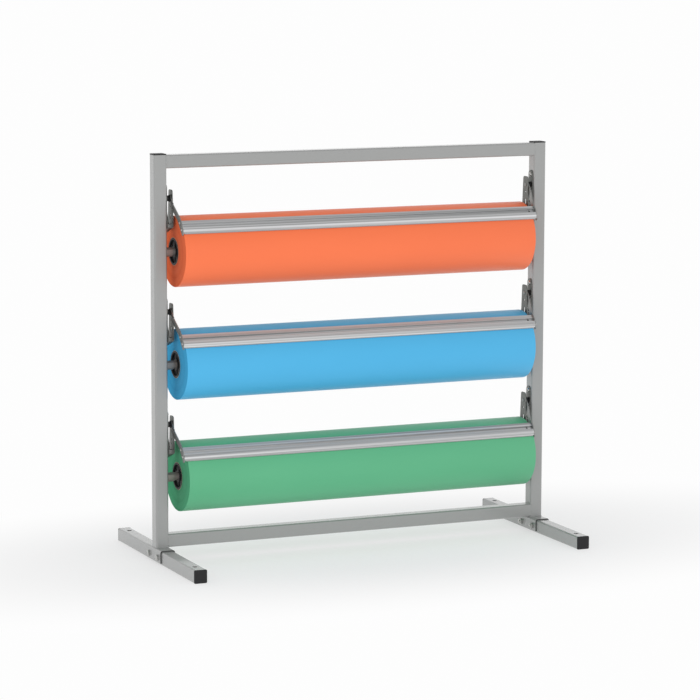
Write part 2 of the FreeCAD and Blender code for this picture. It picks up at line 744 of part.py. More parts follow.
def pivot_bushings(label, axis):
    """Flanged bushings, pressed into the arms' eyes, that turn on the pins inside the springs."""
    body = new_body(label, z=f"{axis} + pivot_rise")
    bore = "(pin_diameter / 2 + bush_fit)"
    inner = "(inner_face - strip_reach + strip_plate + bush_play)"
    outer = "(inner_face - strip_plate - bush_play)"
    flange = "(inner_face - eye_out)"
    turned(
        body,
        (
            (inner, bore),
            (inner, "bush_diameter / 2"),
            (flange, "bush_diameter / 2"),
            (flange, "bush_flange / 2"),
            (f"{flange} + bush_flange_plate", "bush_flange / 2"),
            (f"{flange} + bush_flange_plate", "bush_diameter / 2"),
            (outer, "bush_diameter / 2"),
            (outer, bore),
        ),
    )
    mirrored(body)


def bent_path(points, bend):
    """Straight runs from point to point, with a bend of one radius at each corner."""
    edges = []
    start = points[0]
    for before, corner, after in zip(points, points[1:], points[2:]):
        back = (before - corner).normalize()
        ahead = (after - corner).normalize()
        half_angle = back.getAngle(ahead) / 2
        run = bend / math.tan(half_angle)
        middle = corner + (back + ahead).normalize() * (bend / math.sin(half_angle) - bend)
        edges.append(Part.LineSegment(start, corner + back * run).toShape())
        edges.append(Part.Arc(corner + back * run, middle, corner + ahead * run).toShape())
        start = corner + ahead * run
    edges.append(Part.LineSegment(start, points[-1]).toShape())
    return edges


WIRE_SIDES = 6


def torsion_spring():
    """Spring about the X axis; x is the distance from the upright's face, and the pivot is at 0, 0."""
    wire = value("wire")
    bend = value("spring_bend")
    radius = value("coil_radius")
    pitch = wire + value("coil_gap")
    tilt = math.radians(value("tilt"))
    # The fixed leg runs up from its hole in the bracket to the rear of the coil.
    drop = value("anchor_drop")
    lean = math.asin(radius / drop)
    coil_start = value("strip_plate + coil_clear + wire / 2")
    hook_end = FreeCAD.Vector(value("strip_reach - strip_plate / 2"), 0, -drop)
    hook_corner = FreeCAD.Vector(value("anchor_bend"), 0, -drop)
    leave = FreeCAD.Vector(coil_start, radius * math.cos(lean), -radius * math.sin(lean))
    fixed_leg = bent_path((hook_end, hook_corner, leave), bend)
    # The coil ends where the wire points along the arm, on its upper side.
    sweep = 2 * math.pi * value("coil_turns") + math.pi - tilt + lean
    rise = pitch * sweep / (2 * math.pi)
    coil = Part.makeHelix(pitch, rise, radius)
    coil.rotate(FreeCAD.Vector(), FreeCAD.Vector(0, 0, 1), -math.degrees(lean))
    coil.rotate(FreeCAD.Vector(), FreeCAD.Vector(1, 1, 1), 120)
    coil.translate(FreeCAD.Vector(coil_start, 0, 0))
    # The moving leg lies along the arm's upper edge and hooks over it.
    along = FreeCAD.Vector(0, -math.sin(tilt), -math.cos(tilt))
    upward = FreeCAD.Vector(0, -math.cos(tilt), math.sin(tilt))
    coil_end = FreeCAD.Vector(coil_start + rise, 0, 0)
    clear = value("arm_front + spring_clear + wire / 2")
    arrive = coil_end + upward * radius
    over_arm = coil_end + along * value("spring_reach") + upward * clear
    arm_end = FreeCAD.Vector(value("eye_in"), over_arm.y, over_arm.z)
    moving_leg = bent_path((arrive, over_arm, arm_end), bend)
    # The wire's section has flat sides, so that its long bends stay light.
    across = FreeCAD.Vector(0, 1, 0) * (wire / 2)
    upright = (hook_corner - hook_end).normalize().cross(across)
    steps = [2 * math.pi * number / WIRE_SIDES for number in range(WIRE_SIDES)]
    corners = [hook_end + across * math.cos(step) + upright * math.sin(step) for step in steps]
    section = Part.makePolygon(corners + corners[:1])
    path = Part.Wire(fixed_leg + coil.Edges + moving_leg)
    return path.makePipeShell([section], True, False)


def springs(label, axis):
    """The pair of torsion springs of one deck, each the mirror image of the other."""
    left = torsion_spring()
    left.translate(FreeCAD.Vector(-value("inner_face"), 0, 0))
    right = left.mirror(FreeCAD.Vector(), FreeCAD.Vector(1, 0, 0))
    feature = doc.addObject("Part::Feature", label)
    feature.Label = label
    feature.Shape = Part.makeCompound([left, right])
    pivot = FreeCAD.Vector(0, value("mast_set_back"), value(f"{axis} + pivot_rise"))
    feature.Placement = FreeCAD.Placement(pivot, FreeCAD.Rotation())


# ---------------------------------------------------------------------------------------------
# Roll: paper on its core, a plug in each end, and the axle through them
# ---------------------------------------------------------------------------------------------


def round_tube(label, diameter, bore, length, shift, axis):
    body = new_body(label, x=shift, z=axis)
    sketch = new_sketch(body, "YZ")
    circle(sketch, "0", "0", diameter)
    circle(sketch, "0", "0", bore)
    pad(body, sketch, length, symmetric=True)


def core_plugs(label, shift, axis):
    """Moulded plugs: an outer ring, a hub on the axle, a recessed web and ribs between them."""
    body = new_body(label, x=shift, z=axis)
    face = "(roll_length / 2)"
    web = f"({face} - plug_recess)"
    back = f"({face} - plug_depth)"
    ring = "(plug_radius - plug_rim)"
    turned(
        body,
        (
            (back, "plug_bore"),
            (f"{face} - plug_hub_set_in", "plug_bore"),
            (f"{face} - plug_hub_set_in", "plug_hub"),
            (web, "plug_hub"),
            (web, ring),
            (face, ring),
            (face, "plug_radius"),
            (back, "plug_radius"),
            (back, ring),
            (f"{web} - plug_web", ring),
            (f"{web} - plug_web", "plug_hub"),
            (back, "plug_hub"),
        ),
    )
    rib = new_sketch(body, "YZ", f"{face} - plug_rib_set_in")
    inside = "(plug_bore + plug_hub) / 2"
    outside = f"({ring} + plug_radius) / 2"
    outline(
        rib,
        (
            ("-plug_rib / 2", inside),
            ("plug_rib / 2", inside),
            ("plug_rib / 2", outside),
            ("-plug_rib / 2", outside),
        ),
    )
    spoke = pad(body, rib, "plug_recess", reverse=True)
    wheel = body.newObject("PartDesign::PolarPattern", body.Name + "_ribs")
    wheel.Originals = [spoke]
    wheel.Axis = (origin_item(body, "X_Axis"), [""])
    wheel.Angle = 360
    bind(wheel, "Occurrences", "plug_ribs")
    body.Tip = wheel
    mirrored(body)


# ---------------------------------------------------------------------------------------------
# Cutter: two arms, the bar across them, its blade and screws. They are drawn square to the
# arm, whose line runs from the pivot past the roll, and are then tilted onto the paper: -Z runs
# down the arm and -Y points away from the roll.
# ---------------------------------------------------------------------------------------------


def tilted_body(label, axis):
    body = new_body(label, z=f"{axis} + pivot_rise")
    body.Placement.Rotation = FreeCAD.Rotation(FreeCAD.Vector(-1, 0, 0), value("tilt"))
    bind(body, "Placement.Rotation.Angle", "tilt")
    return body


def arm(label, side, axis):
    """Strip beside the bracket's inner leg, bent twice so that its lower end lies on the bar's end."""
    body = tilted_body(label, axis)
    top = "(arm_eye_radius + cut_past)"
    low = "(arm_tip + cut_past)"
    bent = new_sketch(body, "XZ")
    strip = (
        ("inner_face - eye_in", top),
        ("inner_face - eye_in", "-arm_lean_start"),
        ("bar_end", "-arm_lean_end"),
        ("bar_end", f"-{low}"),
        ("bar_end + arm_plate", f"-{low}"),
        ("bar_end + arm_plate", "-arm_lean_end"),
        ("inner_face - eye_out", "-arm_lean_start"),
        ("inner_face - eye_out", top),
    )
    outline(bent, [(f"{side} * ({x})", z) for x, z in strip])
    pad(body, bent, "2 * (arm_front + cut_past)", symmetric=True)
    edges = new_sketch(body, "YZ")
    far = "(2 * arm_front)"
    outline(
        edges,
        (
            (f"-{far}", f"-2 * {low}"),
            (far, f"-2 * {low}"),
            (far, f"2 * {top}"),
            (f"-{far}", f"2 * {top}"),
        ),
    )
    tip = "(arm_tip - arm_tip_radius)"
    outline(
        edges,
        (
            ("arm_eye_radius", "0", ("0", "0"), 1),
            ("-arm_eye_radius", "0"),
            ("-arm_front", "-arm_neck"),
            ("-arm_front", "arm_slant - arm_tip"),
            ("arm_back - 2 * arm_tip_radius", f"-{tip}", ("arm_back - arm_tip_radius", f"-{tip}"), 1),
            ("arm_back", f"-{tip}"),
            ("arm_back", "-arm_neck"),
        ),
    )
    pocket(body, edges)
    holes = new_sketch(body, "YZ")
    circle(holes, "0", "0", "bush_diameter + 2 * bush_press")
    for distance in ("bar_screw_upper", "bar_screw_lower"):
        circle(holes, "-bar_screw_height", f"-bar_top - {distance}", "bar_screw + 2 * screw_fit")
    pocket(body, holes)


def cutter_bar(label, axis):
    """Extruded bar: an upper flat with a ridge, a groove, and a lower flat that ends in a lip."""
    body = tilted_body(label, axis)
    seat = "(blade_plate + blade_seat_fit)"
    edge = (
        ("0", "0"),
        ("0", "bar_shoulder - bar_bevel_out"),
        ("bar_bevel_down", "bar_shoulder"),
        ("ridge_start", "bar_shoulder"),
        ("ridge_start + ridge_slope", "bar_ridge"),
        ("ridge_start + ridge_width", "bar_ridge"),
        ("groove_start", "bar_groove"),
        ("groove_start + groove_width", "bar_groove"),
        ("groove_start + groove_width + rise_run", "bar_crown"),
        ("groove_start + groove_width + rise_run + flat_width", "bar_crown - bar_fall"),
        ("bar_width - lip_bevel", "bar_lip"),
        ("bar_width", seat),
        ("bar_width - blade_seat", seat),
        ("bar_width - blade_seat", "0"),
        ("relief_start + relief_width", "0"),
        ("relief_start + relief_width - relief_depth", "relief_depth"),
        ("relief_start + relief_depth", "relief_depth"),
        ("relief_start", "0"),
    )
    sketch = new_sketch(body, "YZ")
    outline(sketch, [(f"-({out})", f"-bar_top - ({down})") for down, out in edge])
    pad(body, sketch, "2 * bar_end", symmetric=True)
    for name, side in SIDES:
        holes = new_sketch(body, "YZ", f"{side} * bar_end")
        for distance in ("bar_screw_upper", "bar_screw_lower"):
            circle(holes, "-bar_screw_height", f"-bar_top - {distance}", "bar_screw + 2 * screw_fit")
        pocket(body, holes, "bar_screw_depth + bar_screw", reverse=side < 0)
    grub_hole = new_sketch(body, "XZ", "bar_groove")
    circle(grub_hole, "bar_end - grub_inset", "-grub_height", "grub_diameter + 2 * screw_fit")
    pocket(body, grub_hole, "grub_depth")


def cutter_blade(label, axis):
    """Steel strip in the seat under the lip, ground to an edge."""
    body = tilted_body(label, axis)
    sketch = new_sketch(body, "YZ")
    upper = "-bar_bottom + blade_seat - blade_seat_fit"
    lower = "-bar_bottom - blade_proud"
    outline(
        sketch,
        (
            ("0", upper),
            ("-blade_plate", upper),
            ("-blade_plate", f"{lower} + blade_bevel"),
            ("-blade_edge", lower),
            ("0", lower),
        ),
    )
    pad(body, sketch, "2 * (bar_end - blade_inset)", symmetric=True)


def bar_screws(label, axis):
    """Two pan-head screws through each arm into the bar, and a grub screw in its groove."""
    body = tilted_body(label, axis)
    for distance in ("bar_screw_upper", "bar_screw_lower"):
        height = f"-bar_top - {distance}"
        head = new_sketch(body, "YZ", "bar_end + arm_plate")
        circle(head, "-bar_screw_height", height, "bar_screw_head")
        pad(body, head, "bar_screw_head_height")
        shank = new_sketch(body, "YZ", "bar_end + arm_plate")
        circle(shank, "-bar_screw_height", height, "bar_screw")
        pad(body, shank, "arm_plate + bar_screw_depth", reverse=True)
    mirrored(body)
    grub = new_sketch(body, "XZ", "bar_groove + grub_proud")
    circle(grub, "bar_end - grub_inset", "-grub_height", "grub_diameter")
    pad(body, grub, "grub_depth", reverse=True)


bracket_screws("bracket_screws")

for deck in DECKS:
    deck_axis = f"{deck}_axis"
    roll_shift = f"{deck}_roll_shift"
    for name, sign in SIDES:
        bracket(f"{deck}_{name}_bracket", sign, deck_axis)
        arm(f"{deck}_{name}_arm", sign, deck_axis)
    cradles(f"{deck}_axle_cradles", deck_axis)
    pivot_pins(f"{deck}_pivot_pins", deck_axis)
    pivot_bushings(f"{deck}_pivot_bushings", deck_axis)
    springs(f"{deck}_springs", deck_axis)
    core_outside = "2 * (core_radius + wound_fit)"
    round_tube(f"{deck}_paper_roll", "roll_diameter", core_outside, "roll_length", roll_shift, deck_axis)
    round_tube(f"{deck}_core_tube", "2 * core_radius", "core_bore", "roll_length", roll_shift, deck_axis)
    core_plugs(f"{deck}_core_plugs", roll_shift, deck_axis)
    axle_bore = "axle_diameter - 2 * axle_wall"
    round_tube(f"{deck}_axle", "axle_diameter", axle_bore, "2 * axle_half", "0", deck_axis)
    cutter_bar(f"{deck}_cutter_bar", deck_axis)
    cutter_blade(f"{deck}_cutter_blade", deck_axis)
    bar_screws(f"{deck}_bar_screws", deck_axis)

# ---------------------------------------------------------------------------------------------
# Check every object, then write one file for each sub-part
# ---------------------------------------------------------------------------------------------

doc.recompute()

faults = []
for item in doc.Objects:
    if "Invalid" in item.State or "Error" in item.State:
        faults.append(f"{item.Name}: {item.State} {item.getStatusString()}")
    if item.TypeId == "PartDesign::Pocket":
        cut_away = item.BaseFeature.Shape.Volume - item.Shape.Volume
        if cut_away < 1:
            faults.append(f"{item.Name} cuts nothing")

sub_parts = [item for item in doc.Objects if item.TypeId in ("PartDesign::Body", "Part::Feature")]
for item in sub_parts:
    if item.Shape.isNull() or not item.Shape.isValid() or not item.Shape.Solids:
        faults.append(f"{item.Label} has no valid solid")
if faults:
    raise RuntimeError("\n".join(faults))

os.makedirs("parts", exist_ok=True)
for item in sub_parts:
    item.Shape.exportStep(f"parts/{item.Label}.step")
print(f"wrote {len(sub_parts)} sub-parts, {sum(len(item.Shape.Solids) for item in sub_parts)} solids")
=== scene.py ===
# %% [markdown]
# # A three-roll wrapping paper rack
#
# The real object is a welded frame of square tube. Three rolls of paper hang in it one above
# another, and a spring-loaded cutter bar rests on each roll. The solids come from the part's own
# model, so this lesson only adds what a solid can't show: paint, zinc, paper, weld beads, wound
# springs and screw recesses. The first cell loads the solids as a frame that never changes, and
# keeps the size of the box round them. All lengths are in metres.

import json
import math

import bmesh
import bpy
from mathutils import Matrix, Vector

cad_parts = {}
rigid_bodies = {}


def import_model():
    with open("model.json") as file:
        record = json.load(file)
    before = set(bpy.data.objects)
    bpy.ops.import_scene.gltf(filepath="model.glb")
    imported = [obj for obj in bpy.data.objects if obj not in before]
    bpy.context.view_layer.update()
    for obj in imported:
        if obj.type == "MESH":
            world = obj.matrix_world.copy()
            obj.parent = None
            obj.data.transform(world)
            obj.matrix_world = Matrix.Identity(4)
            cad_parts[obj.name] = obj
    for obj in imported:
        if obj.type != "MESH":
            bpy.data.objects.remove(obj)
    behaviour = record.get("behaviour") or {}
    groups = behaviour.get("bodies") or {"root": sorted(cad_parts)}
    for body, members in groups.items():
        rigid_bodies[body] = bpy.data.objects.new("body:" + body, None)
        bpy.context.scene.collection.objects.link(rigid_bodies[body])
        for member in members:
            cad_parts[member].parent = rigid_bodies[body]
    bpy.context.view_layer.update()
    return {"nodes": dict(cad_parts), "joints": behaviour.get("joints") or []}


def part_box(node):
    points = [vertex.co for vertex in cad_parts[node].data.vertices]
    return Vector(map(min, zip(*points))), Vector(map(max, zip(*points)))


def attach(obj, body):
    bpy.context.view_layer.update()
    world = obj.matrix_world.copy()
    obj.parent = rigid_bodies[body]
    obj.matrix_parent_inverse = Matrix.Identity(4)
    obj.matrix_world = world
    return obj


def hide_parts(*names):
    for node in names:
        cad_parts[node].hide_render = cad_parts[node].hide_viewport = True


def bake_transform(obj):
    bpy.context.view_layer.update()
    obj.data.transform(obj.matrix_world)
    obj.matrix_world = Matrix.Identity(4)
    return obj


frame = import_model()

DECKS = ("top", "middle", "bottom")
SIDES = (("left", -1), ("right", 1))
joints = {joint["name"]: joint for joint in frame["joints"]}

# %% [markdown]
# ## Helpers for materials
#
# Every finish is a Principled shader with a few nodes in front of it. Setting a plain number on
# the shader's own socket keeps it simple to read, so only what changes over the surface gets
# nodes. One helper starts a material. Another adds a node with its settings and its inputs in a
# single line. Three small ones set a range, mix two colours and turn a height into a bump.


# %% Start a material and add nodes
def new_finish(name, color, roughness, metallic=0.0, **sockets):
    """A material with a Principled shader whose plain numbers are set; returns it with its tree."""
    material = bpy.data.materials.new(name)
    material.use_nodes = True
    shader = material.node_tree.nodes["Principled BSDF"]
    shader.inputs["Base Color"].default_value = (*color, 1)
    shader.inputs["Roughness"].default_value = roughness
    shader.inputs["Metallic"].default_value = metallic
    for socket, number in sockets.items():
        shader.inputs[socket.replace("_", " ")].default_value = number
    material.diffuse_color = (*color, 1)
    return material, material.node_tree, shader


def is_socket(given):
    return isinstance(given, bpy.types.NodeSocket)


def add(tree, kind, settings=None, **inputs):
    """Add a node. An input is a value or another node's output; i6 names a socket by its index."""
    node = tree.nodes.new(kind)
    for setting, choice in (settings or {}).items():
        setattr(node, setting, choice)
    for name, given in inputs.items():
        numbered = name[0] == "i" and name[1:].isdigit()
        socket = node.inputs[int(name[1:])] if numbered else node.inputs[name]
        if is_socket(given):
            tree.links.new(given, socket)
        else:
            socket.default_value = given
    return node


def set_range(node, from_min, from_max, to_min=0.0, to_max=1.0):
    """Set the four numbers of a Map Range node."""
    numbers = {"From Min": from_min, "From Max": from_max, "To Min": to_min, "To Max": to_max}
    for label, number in numbers.items():
        node.inputs[label].default_value = number


def mix_colors(tree, factor, first, second):
    """The colour between two, each a plain (red, green, blue) or another node's output."""
    first, second = (given if is_socket(given) else (*given, 1) for given in (first, second))
    mix = add(tree, "ShaderNodeMix", {"data_type": "RGBA"}, Factor=factor, i6=first, i7=second)
    return mix.outputs[2]


def bump_normal(tree, height, depth, normal=None):
    """The surface's direction once a height pattern, so many metres deep, lies on it."""
    bump = add(tree, "ShaderNodeBump", Strength=1.0, Distance=depth, Height=height)
    if normal is not None:
        tree.links.new(normal, bump.inputs["Normal"])
    return bump.outputs["Normal"]


def new_group(name, inputs, outputs):
    """A shader node group. Inputs are (name, kind, start value); outputs are (name, kind)."""
    group = bpy.data.node_groups.new(name, "ShaderNodeTree")
    for label, kind, start in inputs:
        socket = group.interface.new_socket(name=label, in_out="INPUT", socket_type=kind)
        socket.default_value = start
    for label, kind in outputs:
        group.interface.new_socket(name=label, in_out="OUTPUT", socket_type=kind)
    return group, group.nodes.new("NodeGroupInput"), group.nodes.new("NodeGroupOutput")


FLOAT, VECTOR = "NodeSocketFloat", "NodeSocketVector"
print("helpers ready")

# %% [markdown]
# ## Shared surface effects
#
# Several finishes need the same few effects, so each effect is one node group, used with its own
# numbers in every material. The first breaks up a surface with fine grain, which can be stretched
# along one axis to look drawn or brushed. It reads object coordinates: every piece has its place
# in its mesh, so the pattern is as large on one piece as on the next.


# %% Grain, plain or stretched
def grain_group():
    """Noise of a set cell size; Stretch divides the pattern's frequency along each axis."""
    group, given, out = new_group(
        "surface_grain",
        (
            ("Cells per metre", FLOAT, 800.0), ("Stretch", VECTOR, (1.0, 1.0, 1.0)),
            ("Contrast", FLOAT, 1.0),
        ),
        (("Grain", FLOAT),),
    )
    place = add(group, "ShaderNodeTexCoord").outputs["Object"]
    squeezed = add(
        group, "ShaderNodeVectorMath", {"operation": "DIVIDE"}, i0=place,
        i1=given.outputs["Stretch"],
    )
    noise = add(
        group, "ShaderNodeTexNoise", Vector=squeezed.outputs["Vector"],
        Scale=given.outputs["Cells per metre"], Detail=3.0, Roughness=0.55,
    )
    centred = add(
        group, "ShaderNodeMath", {"operation": "SUBTRACT"}, i0=noise.outputs["Fac"], i1=0.5
    )
    spread = add(
        group, "ShaderNodeMath", {"operation": "MULTIPLY"}, i0=centred.outputs["Value"],
        i1=given.outputs["Contrast"],
    )
    back = add(
        group, "ShaderNodeMath", {"operation": "ADD", "use_clamp": True},
        i0=spread.outputs["Value"], i1=0.5,
    )
    group.links.new(back.outputs["Value"], out.inputs["Grain"])
    return group


surface_grain = grain_group()


def grain(tree, cells, stretch=(1, 1, 1), contrast=1.0):
    """The grain with its own numbers: a value between 0 and 1 at every point."""
    node = add(
        tree, "ShaderNodeGroup", {"node_tree": surface_grain},
        **{"Cells per metre": float(cells), "Stretch": stretch, "Contrast": contrast},
    )
    return node.outputs["Grain"]


print("group", surface_grain.name)

# %% [markdown]
# The second effect rounds sharp edges for the light and marks where they are. Pressed and sawn
# metal has a tiny radius on every edge, and it catches a thin line of light. The Bevel node finds
# edges by looking round each point, so it works on solids whose mesh is never changed, and the
# mask it gives also shows where paint or plating wears first.


# %% Soft edges and an edge mask
def edge_group():
    """A normal that is rounded at edges, and a mask that is patchy along them."""
    group, given, out = new_group(
        "worn_edges",
        (("Radius", FLOAT, 0.0006), ("Patchiness", FLOAT, 0.6)),
        (("Normal", VECTOR), ("Edge", FLOAT)),
    )
    soft = add(group, "ShaderNodeBevel", {"samples": 4}, Radius=given.outputs["Radius"])
    face = add(group, "ShaderNodeNewGeometry")
    same = add(
        group, "ShaderNodeVectorMath", {"operation": "DOT_PRODUCT"}, i0=soft.outputs["Normal"],
        i1=face.outputs["Normal"],
    )
    bend = add(group, "ShaderNodeMapRange", {"clamp": True}, Value=same.outputs["Value"])
    set_range(bend, 1.0, 0.8)
    place = add(group, "ShaderNodeTexCoord").outputs["Object"]
    patches = add(group, "ShaderNodeTexNoise", Vector=place, Scale=55.0, Detail=2.0)
    cut = add(
        group, "ShaderNodeMath", {"operation": "MULTIPLY"}, i0=patches.outputs["Fac"],
        i1=given.outputs["Patchiness"],
    )
    worn = add(
        group, "ShaderNodeMath", {"operation": "SUBTRACT", "use_clamp": True},
        i0=bend.outputs["Result"], i1=cut.outputs["Value"],
    )
    group.links.new(soft.outputs["Normal"], out.inputs["Normal"])
    group.links.new(worn.outputs["Value"], out.inputs["Edge"])
    return group


worn_edges = edge_group()
print("group", worn_edges.name)

# %% [markdown]
# ## Metal finishes
#
# The frame is powder coated in metallic grey under a clear coat, which mirrors the room on faces
# that are seen at a flat angle. Such a coat is a little uneven, like orange peel, and carries fine
# flakes, so its colour and its height both follow the grain. The plated, drawn and extruded metals
# are the same recipe with other numbers: a colour that varies between two values, a roughness that
# follows the grain, and edges that are a touch brighter. Zinc comes in three tones: brackets in a
# darker copy of the arms' zinc, a painted shade for where they stand beside the uprights, lighter
# arms and pins, and bright screws and bolts. The grain of the extruded bars is stretched so far
# along X that it turns into long bands.


# %% One recipe for painted and bare metal
SHINE_SPREAD = 0.12


def metal_finish(
    name, color, edge_color, roughness, metallic, cells, stretch=(1, 1, 1), contrast=1.5,
    depth=0.00002, tone=0.12, radius=0.0005, **sockets
):
    """Metal with grain in its tone, roughness and height, and edges that catch the light."""
    material, tree, shader = new_finish(name, color, roughness, metallic, **sockets)
    fine = grain(tree, cells, stretch, contrast)
    clouds = grain(tree, 14.0, contrast=1.2)
    edges = add(tree, "ShaderNodeGroup", {"node_tree": worn_edges}, Radius=radius)
    dark = tuple(channel * (1 - tone) for channel in color)
    light = tuple(min(1, channel * (1 + tone)) for channel in color)
    flakes = mix_colors(tree, fine, dark, light)
    worn = mix_colors(tree, edges.outputs["Edge"], flakes, edge_color)
    tree.links.new(worn, shader.inputs["Base Color"])
    shine = add(
        tree, "ShaderNodeMath", {"operation": "MULTIPLY_ADD"}, i0=clouds, i1=SHINE_SPREAD,
        i2=roughness - SHINE_SPREAD / 2,
    )
    tree.links.new(shine.outputs["Value"], shader.inputs["Roughness"])
    tree.links.new(bump_normal(tree, fine, depth, edges.outputs["Normal"]), shader.inputs["Normal"])
    return material


print("metal recipe ready")

# %% Paint, zinc, steel and aluminium
PAINT = dict(
    color=(0.315, 0.32, 0.316), edge_color=(0.44, 0.445, 0.44), roughness=0.42, metallic=0.25,
    cells=900, contrast=1.2, tone=0.05, radius=0.0004, Coat_Weight=1.0, Coat_Roughness=0.14,
)
frame_paint = metal_finish("frame_paint", **PAINT)
zinc_steel = metal_finish(
    "zinc_steel", (0.28, 0.285, 0.275), (0.46, 0.46, 0.45), 0.45, 0.85, 260, contrast=2.2, tone=0.18
)
# Painted shade: a darker copy of zinc_steel for the brackets, standing in for the shade they sit in
# beside the uprights.
shaded_zinc = metal_finish(
    "shaded_zinc", (0.165, 0.17, 0.16), (0.36, 0.36, 0.35), 0.45, 0.85, 260, contrast=2.2, tone=0.22
)
bright_zinc = metal_finish(
    "bright_zinc", (0.5, 0.5, 0.485), (0.72, 0.72, 0.7), 0.24, 0.95, 500, tone=0.1, radius=0.0003
)
black_steel = metal_finish(
    "black_steel", (0.045, 0.045, 0.047), (0.16, 0.16, 0.16), 0.42, 0.8, 900, tone=0.2,
    radius=0.0003,
)
spring_steel = metal_finish(
    "spring_steel", (0.05, 0.05, 0.052), (0.12, 0.12, 0.12), 0.36, 0.85, 700, tone=0.25,
    radius=0.0002,
)
bar_aluminium = metal_finish(
    "bar_aluminium", (0.57, 0.575, 0.58), (0.7, 0.7, 0.7), 0.32, 0.95, 230, stretch=(400, 1, 1),
    contrast=3.4, tone=0.32, radius=0.0003,
)
blade_steel = metal_finish(
    "blade_steel", (0.46, 0.46, 0.46), (0.6, 0.6, 0.6), 0.34, 1.0, 2500, stretch=(1, 30, 30),
    tone=0.1, depth=0.000008, radius=0.0002,
)
axle_steel = metal_finish(
    "axle_steel", (0.32, 0.29, 0.27), (0.45, 0.42, 0.39), 0.45, 0.7, 1200, stretch=(40, 1, 1),
    contrast=2.0, tone=0.18,
)
print("metal finishes:", [material.name for material in bpy.data.materials])

# %% [markdown]
# A saddle is a plate bent over the foot, and the thin gap between the two lies in shade at the
# plate's cut ends. The saddles' paint is the frame's paint with those two ends painted near black,
# a painted shade for that gap.


# %% Paint with painted shade at the cut ends
# Painted shade for the gap under the saddle: its width in from each cut end, and its near-black
# colour.
GAP_SHADE_WIDTH = 0.0002
GAP_SHADE_COLOR = (0.04, 0.04, 0.04)


def painted_gap_shade(name, node):
    """The frame's paint, with a node's cut ends along Y painted near black as shade in the gap."""
    low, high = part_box(node)
    material = metal_finish(name, **PAINT)
    tree = material.node_tree
    base = tree.nodes["Principled BSDF"].inputs["Base Color"]
    painted = base.links[0].from_socket
    place = add(tree, "ShaderNodeTexCoord").outputs["Object"]
    along = add(tree, "ShaderNodeSeparateXYZ", Vector=place).outputs["Y"]
    off = add(tree, "ShaderNodeMath", {"operation": "SUBTRACT"}, i0=along, i1=(low.y + high.y) / 2)
    off = add(tree, "ShaderNodeMath", {"operation": "ABSOLUTE"}, i0=off.outputs["Value"])
    # Painted shade: a thin band at each cut end along Y is mixed to near black, standing in for the
    # shaded gap.
    end = add(
        tree, "ShaderNodeMath", {"operation": "GREATER_THAN"}, i0=off.outputs["Value"],
        i1=(high.y - low.y) / 2 - GAP_SHADE_WIDTH,
    )
    tree.links.new(mix_colors(tree, end.outputs["Value"], painted, GAP_SHADE_COLOR), base)
    return material


saddle_paint = painted_gap_shade("saddle_paint", "left_saddle")
print("saddles:", saddle_paint.name)

# %% [markdown]
# ## Plastic, board and paper
#
# Caps, plugs and bushings are black moulded plastic with the fine texture of the mould. The core
# is spiral-wound grey board.


# %% Moulded plastic and board
def plain_finish(name, color, second, roughness, cells, contrast, depth, radius=0.0005, **sockets):
    """A dull finish whose colour runs between two tones, with matching bumps."""
    material, tree, shader = new_finish(name, color, roughness, **sockets)
    fine = grain(tree, cells, contrast=contrast)
    edges = add(tree, "ShaderNodeGroup", {"node_tree": worn_edges}, Radius=radius)
    tree.links.new(mix_colors(tree, fine, color, second), shader.inputs["Base Color"])
    tree.links.new(bump_normal(tree, fine, depth, edges.outputs["Normal"]), shader.inputs["Normal"])
    return material


black_plastic = plain_finish(
    "black_plastic", (0.010, 0.010, 0.011), (0.022, 0.022, 0.023), 0.55, 1800, 1.6, 0.00004,
    Specular_IOR_Level=0.3,
)
core_board = plain_finish(
    "core_board", (0.42, 0.33, 0.23), (0.56, 0.46, 0.34), 0.85, 700, 1.8, 0.00005
)
print("plastic and board ready")

# %% [markdown]
# The wrapping paper is smooth, with barely visible fibres. The wound ends show as rings, because
# they are the edges of hundreds of turns. Their normal leans in toward the axis, so the light falls
# on them as on a very shallow dish.


# %% Paper and its wound ends
def paper_finish(name, color, shade):
    """Smooth coated paper: faint fibres in its tone and height."""
    material, tree, shader = new_finish(name, color, 0.5, Sheen_Weight=0.08)
    fibres = grain(tree, 1400.0, (4, 1, 1), 1.4)
    soft = grain(tree, 9.0, (3, 1, 1), 1.0)
    tree.links.new(mix_colors(tree, soft, shade, color), shader.inputs["Base Color"])
    tree.links.new(bump_normal(tree, fibres, 0.00001), shader.inputs["Normal"])
    return material


DISH = 0.7


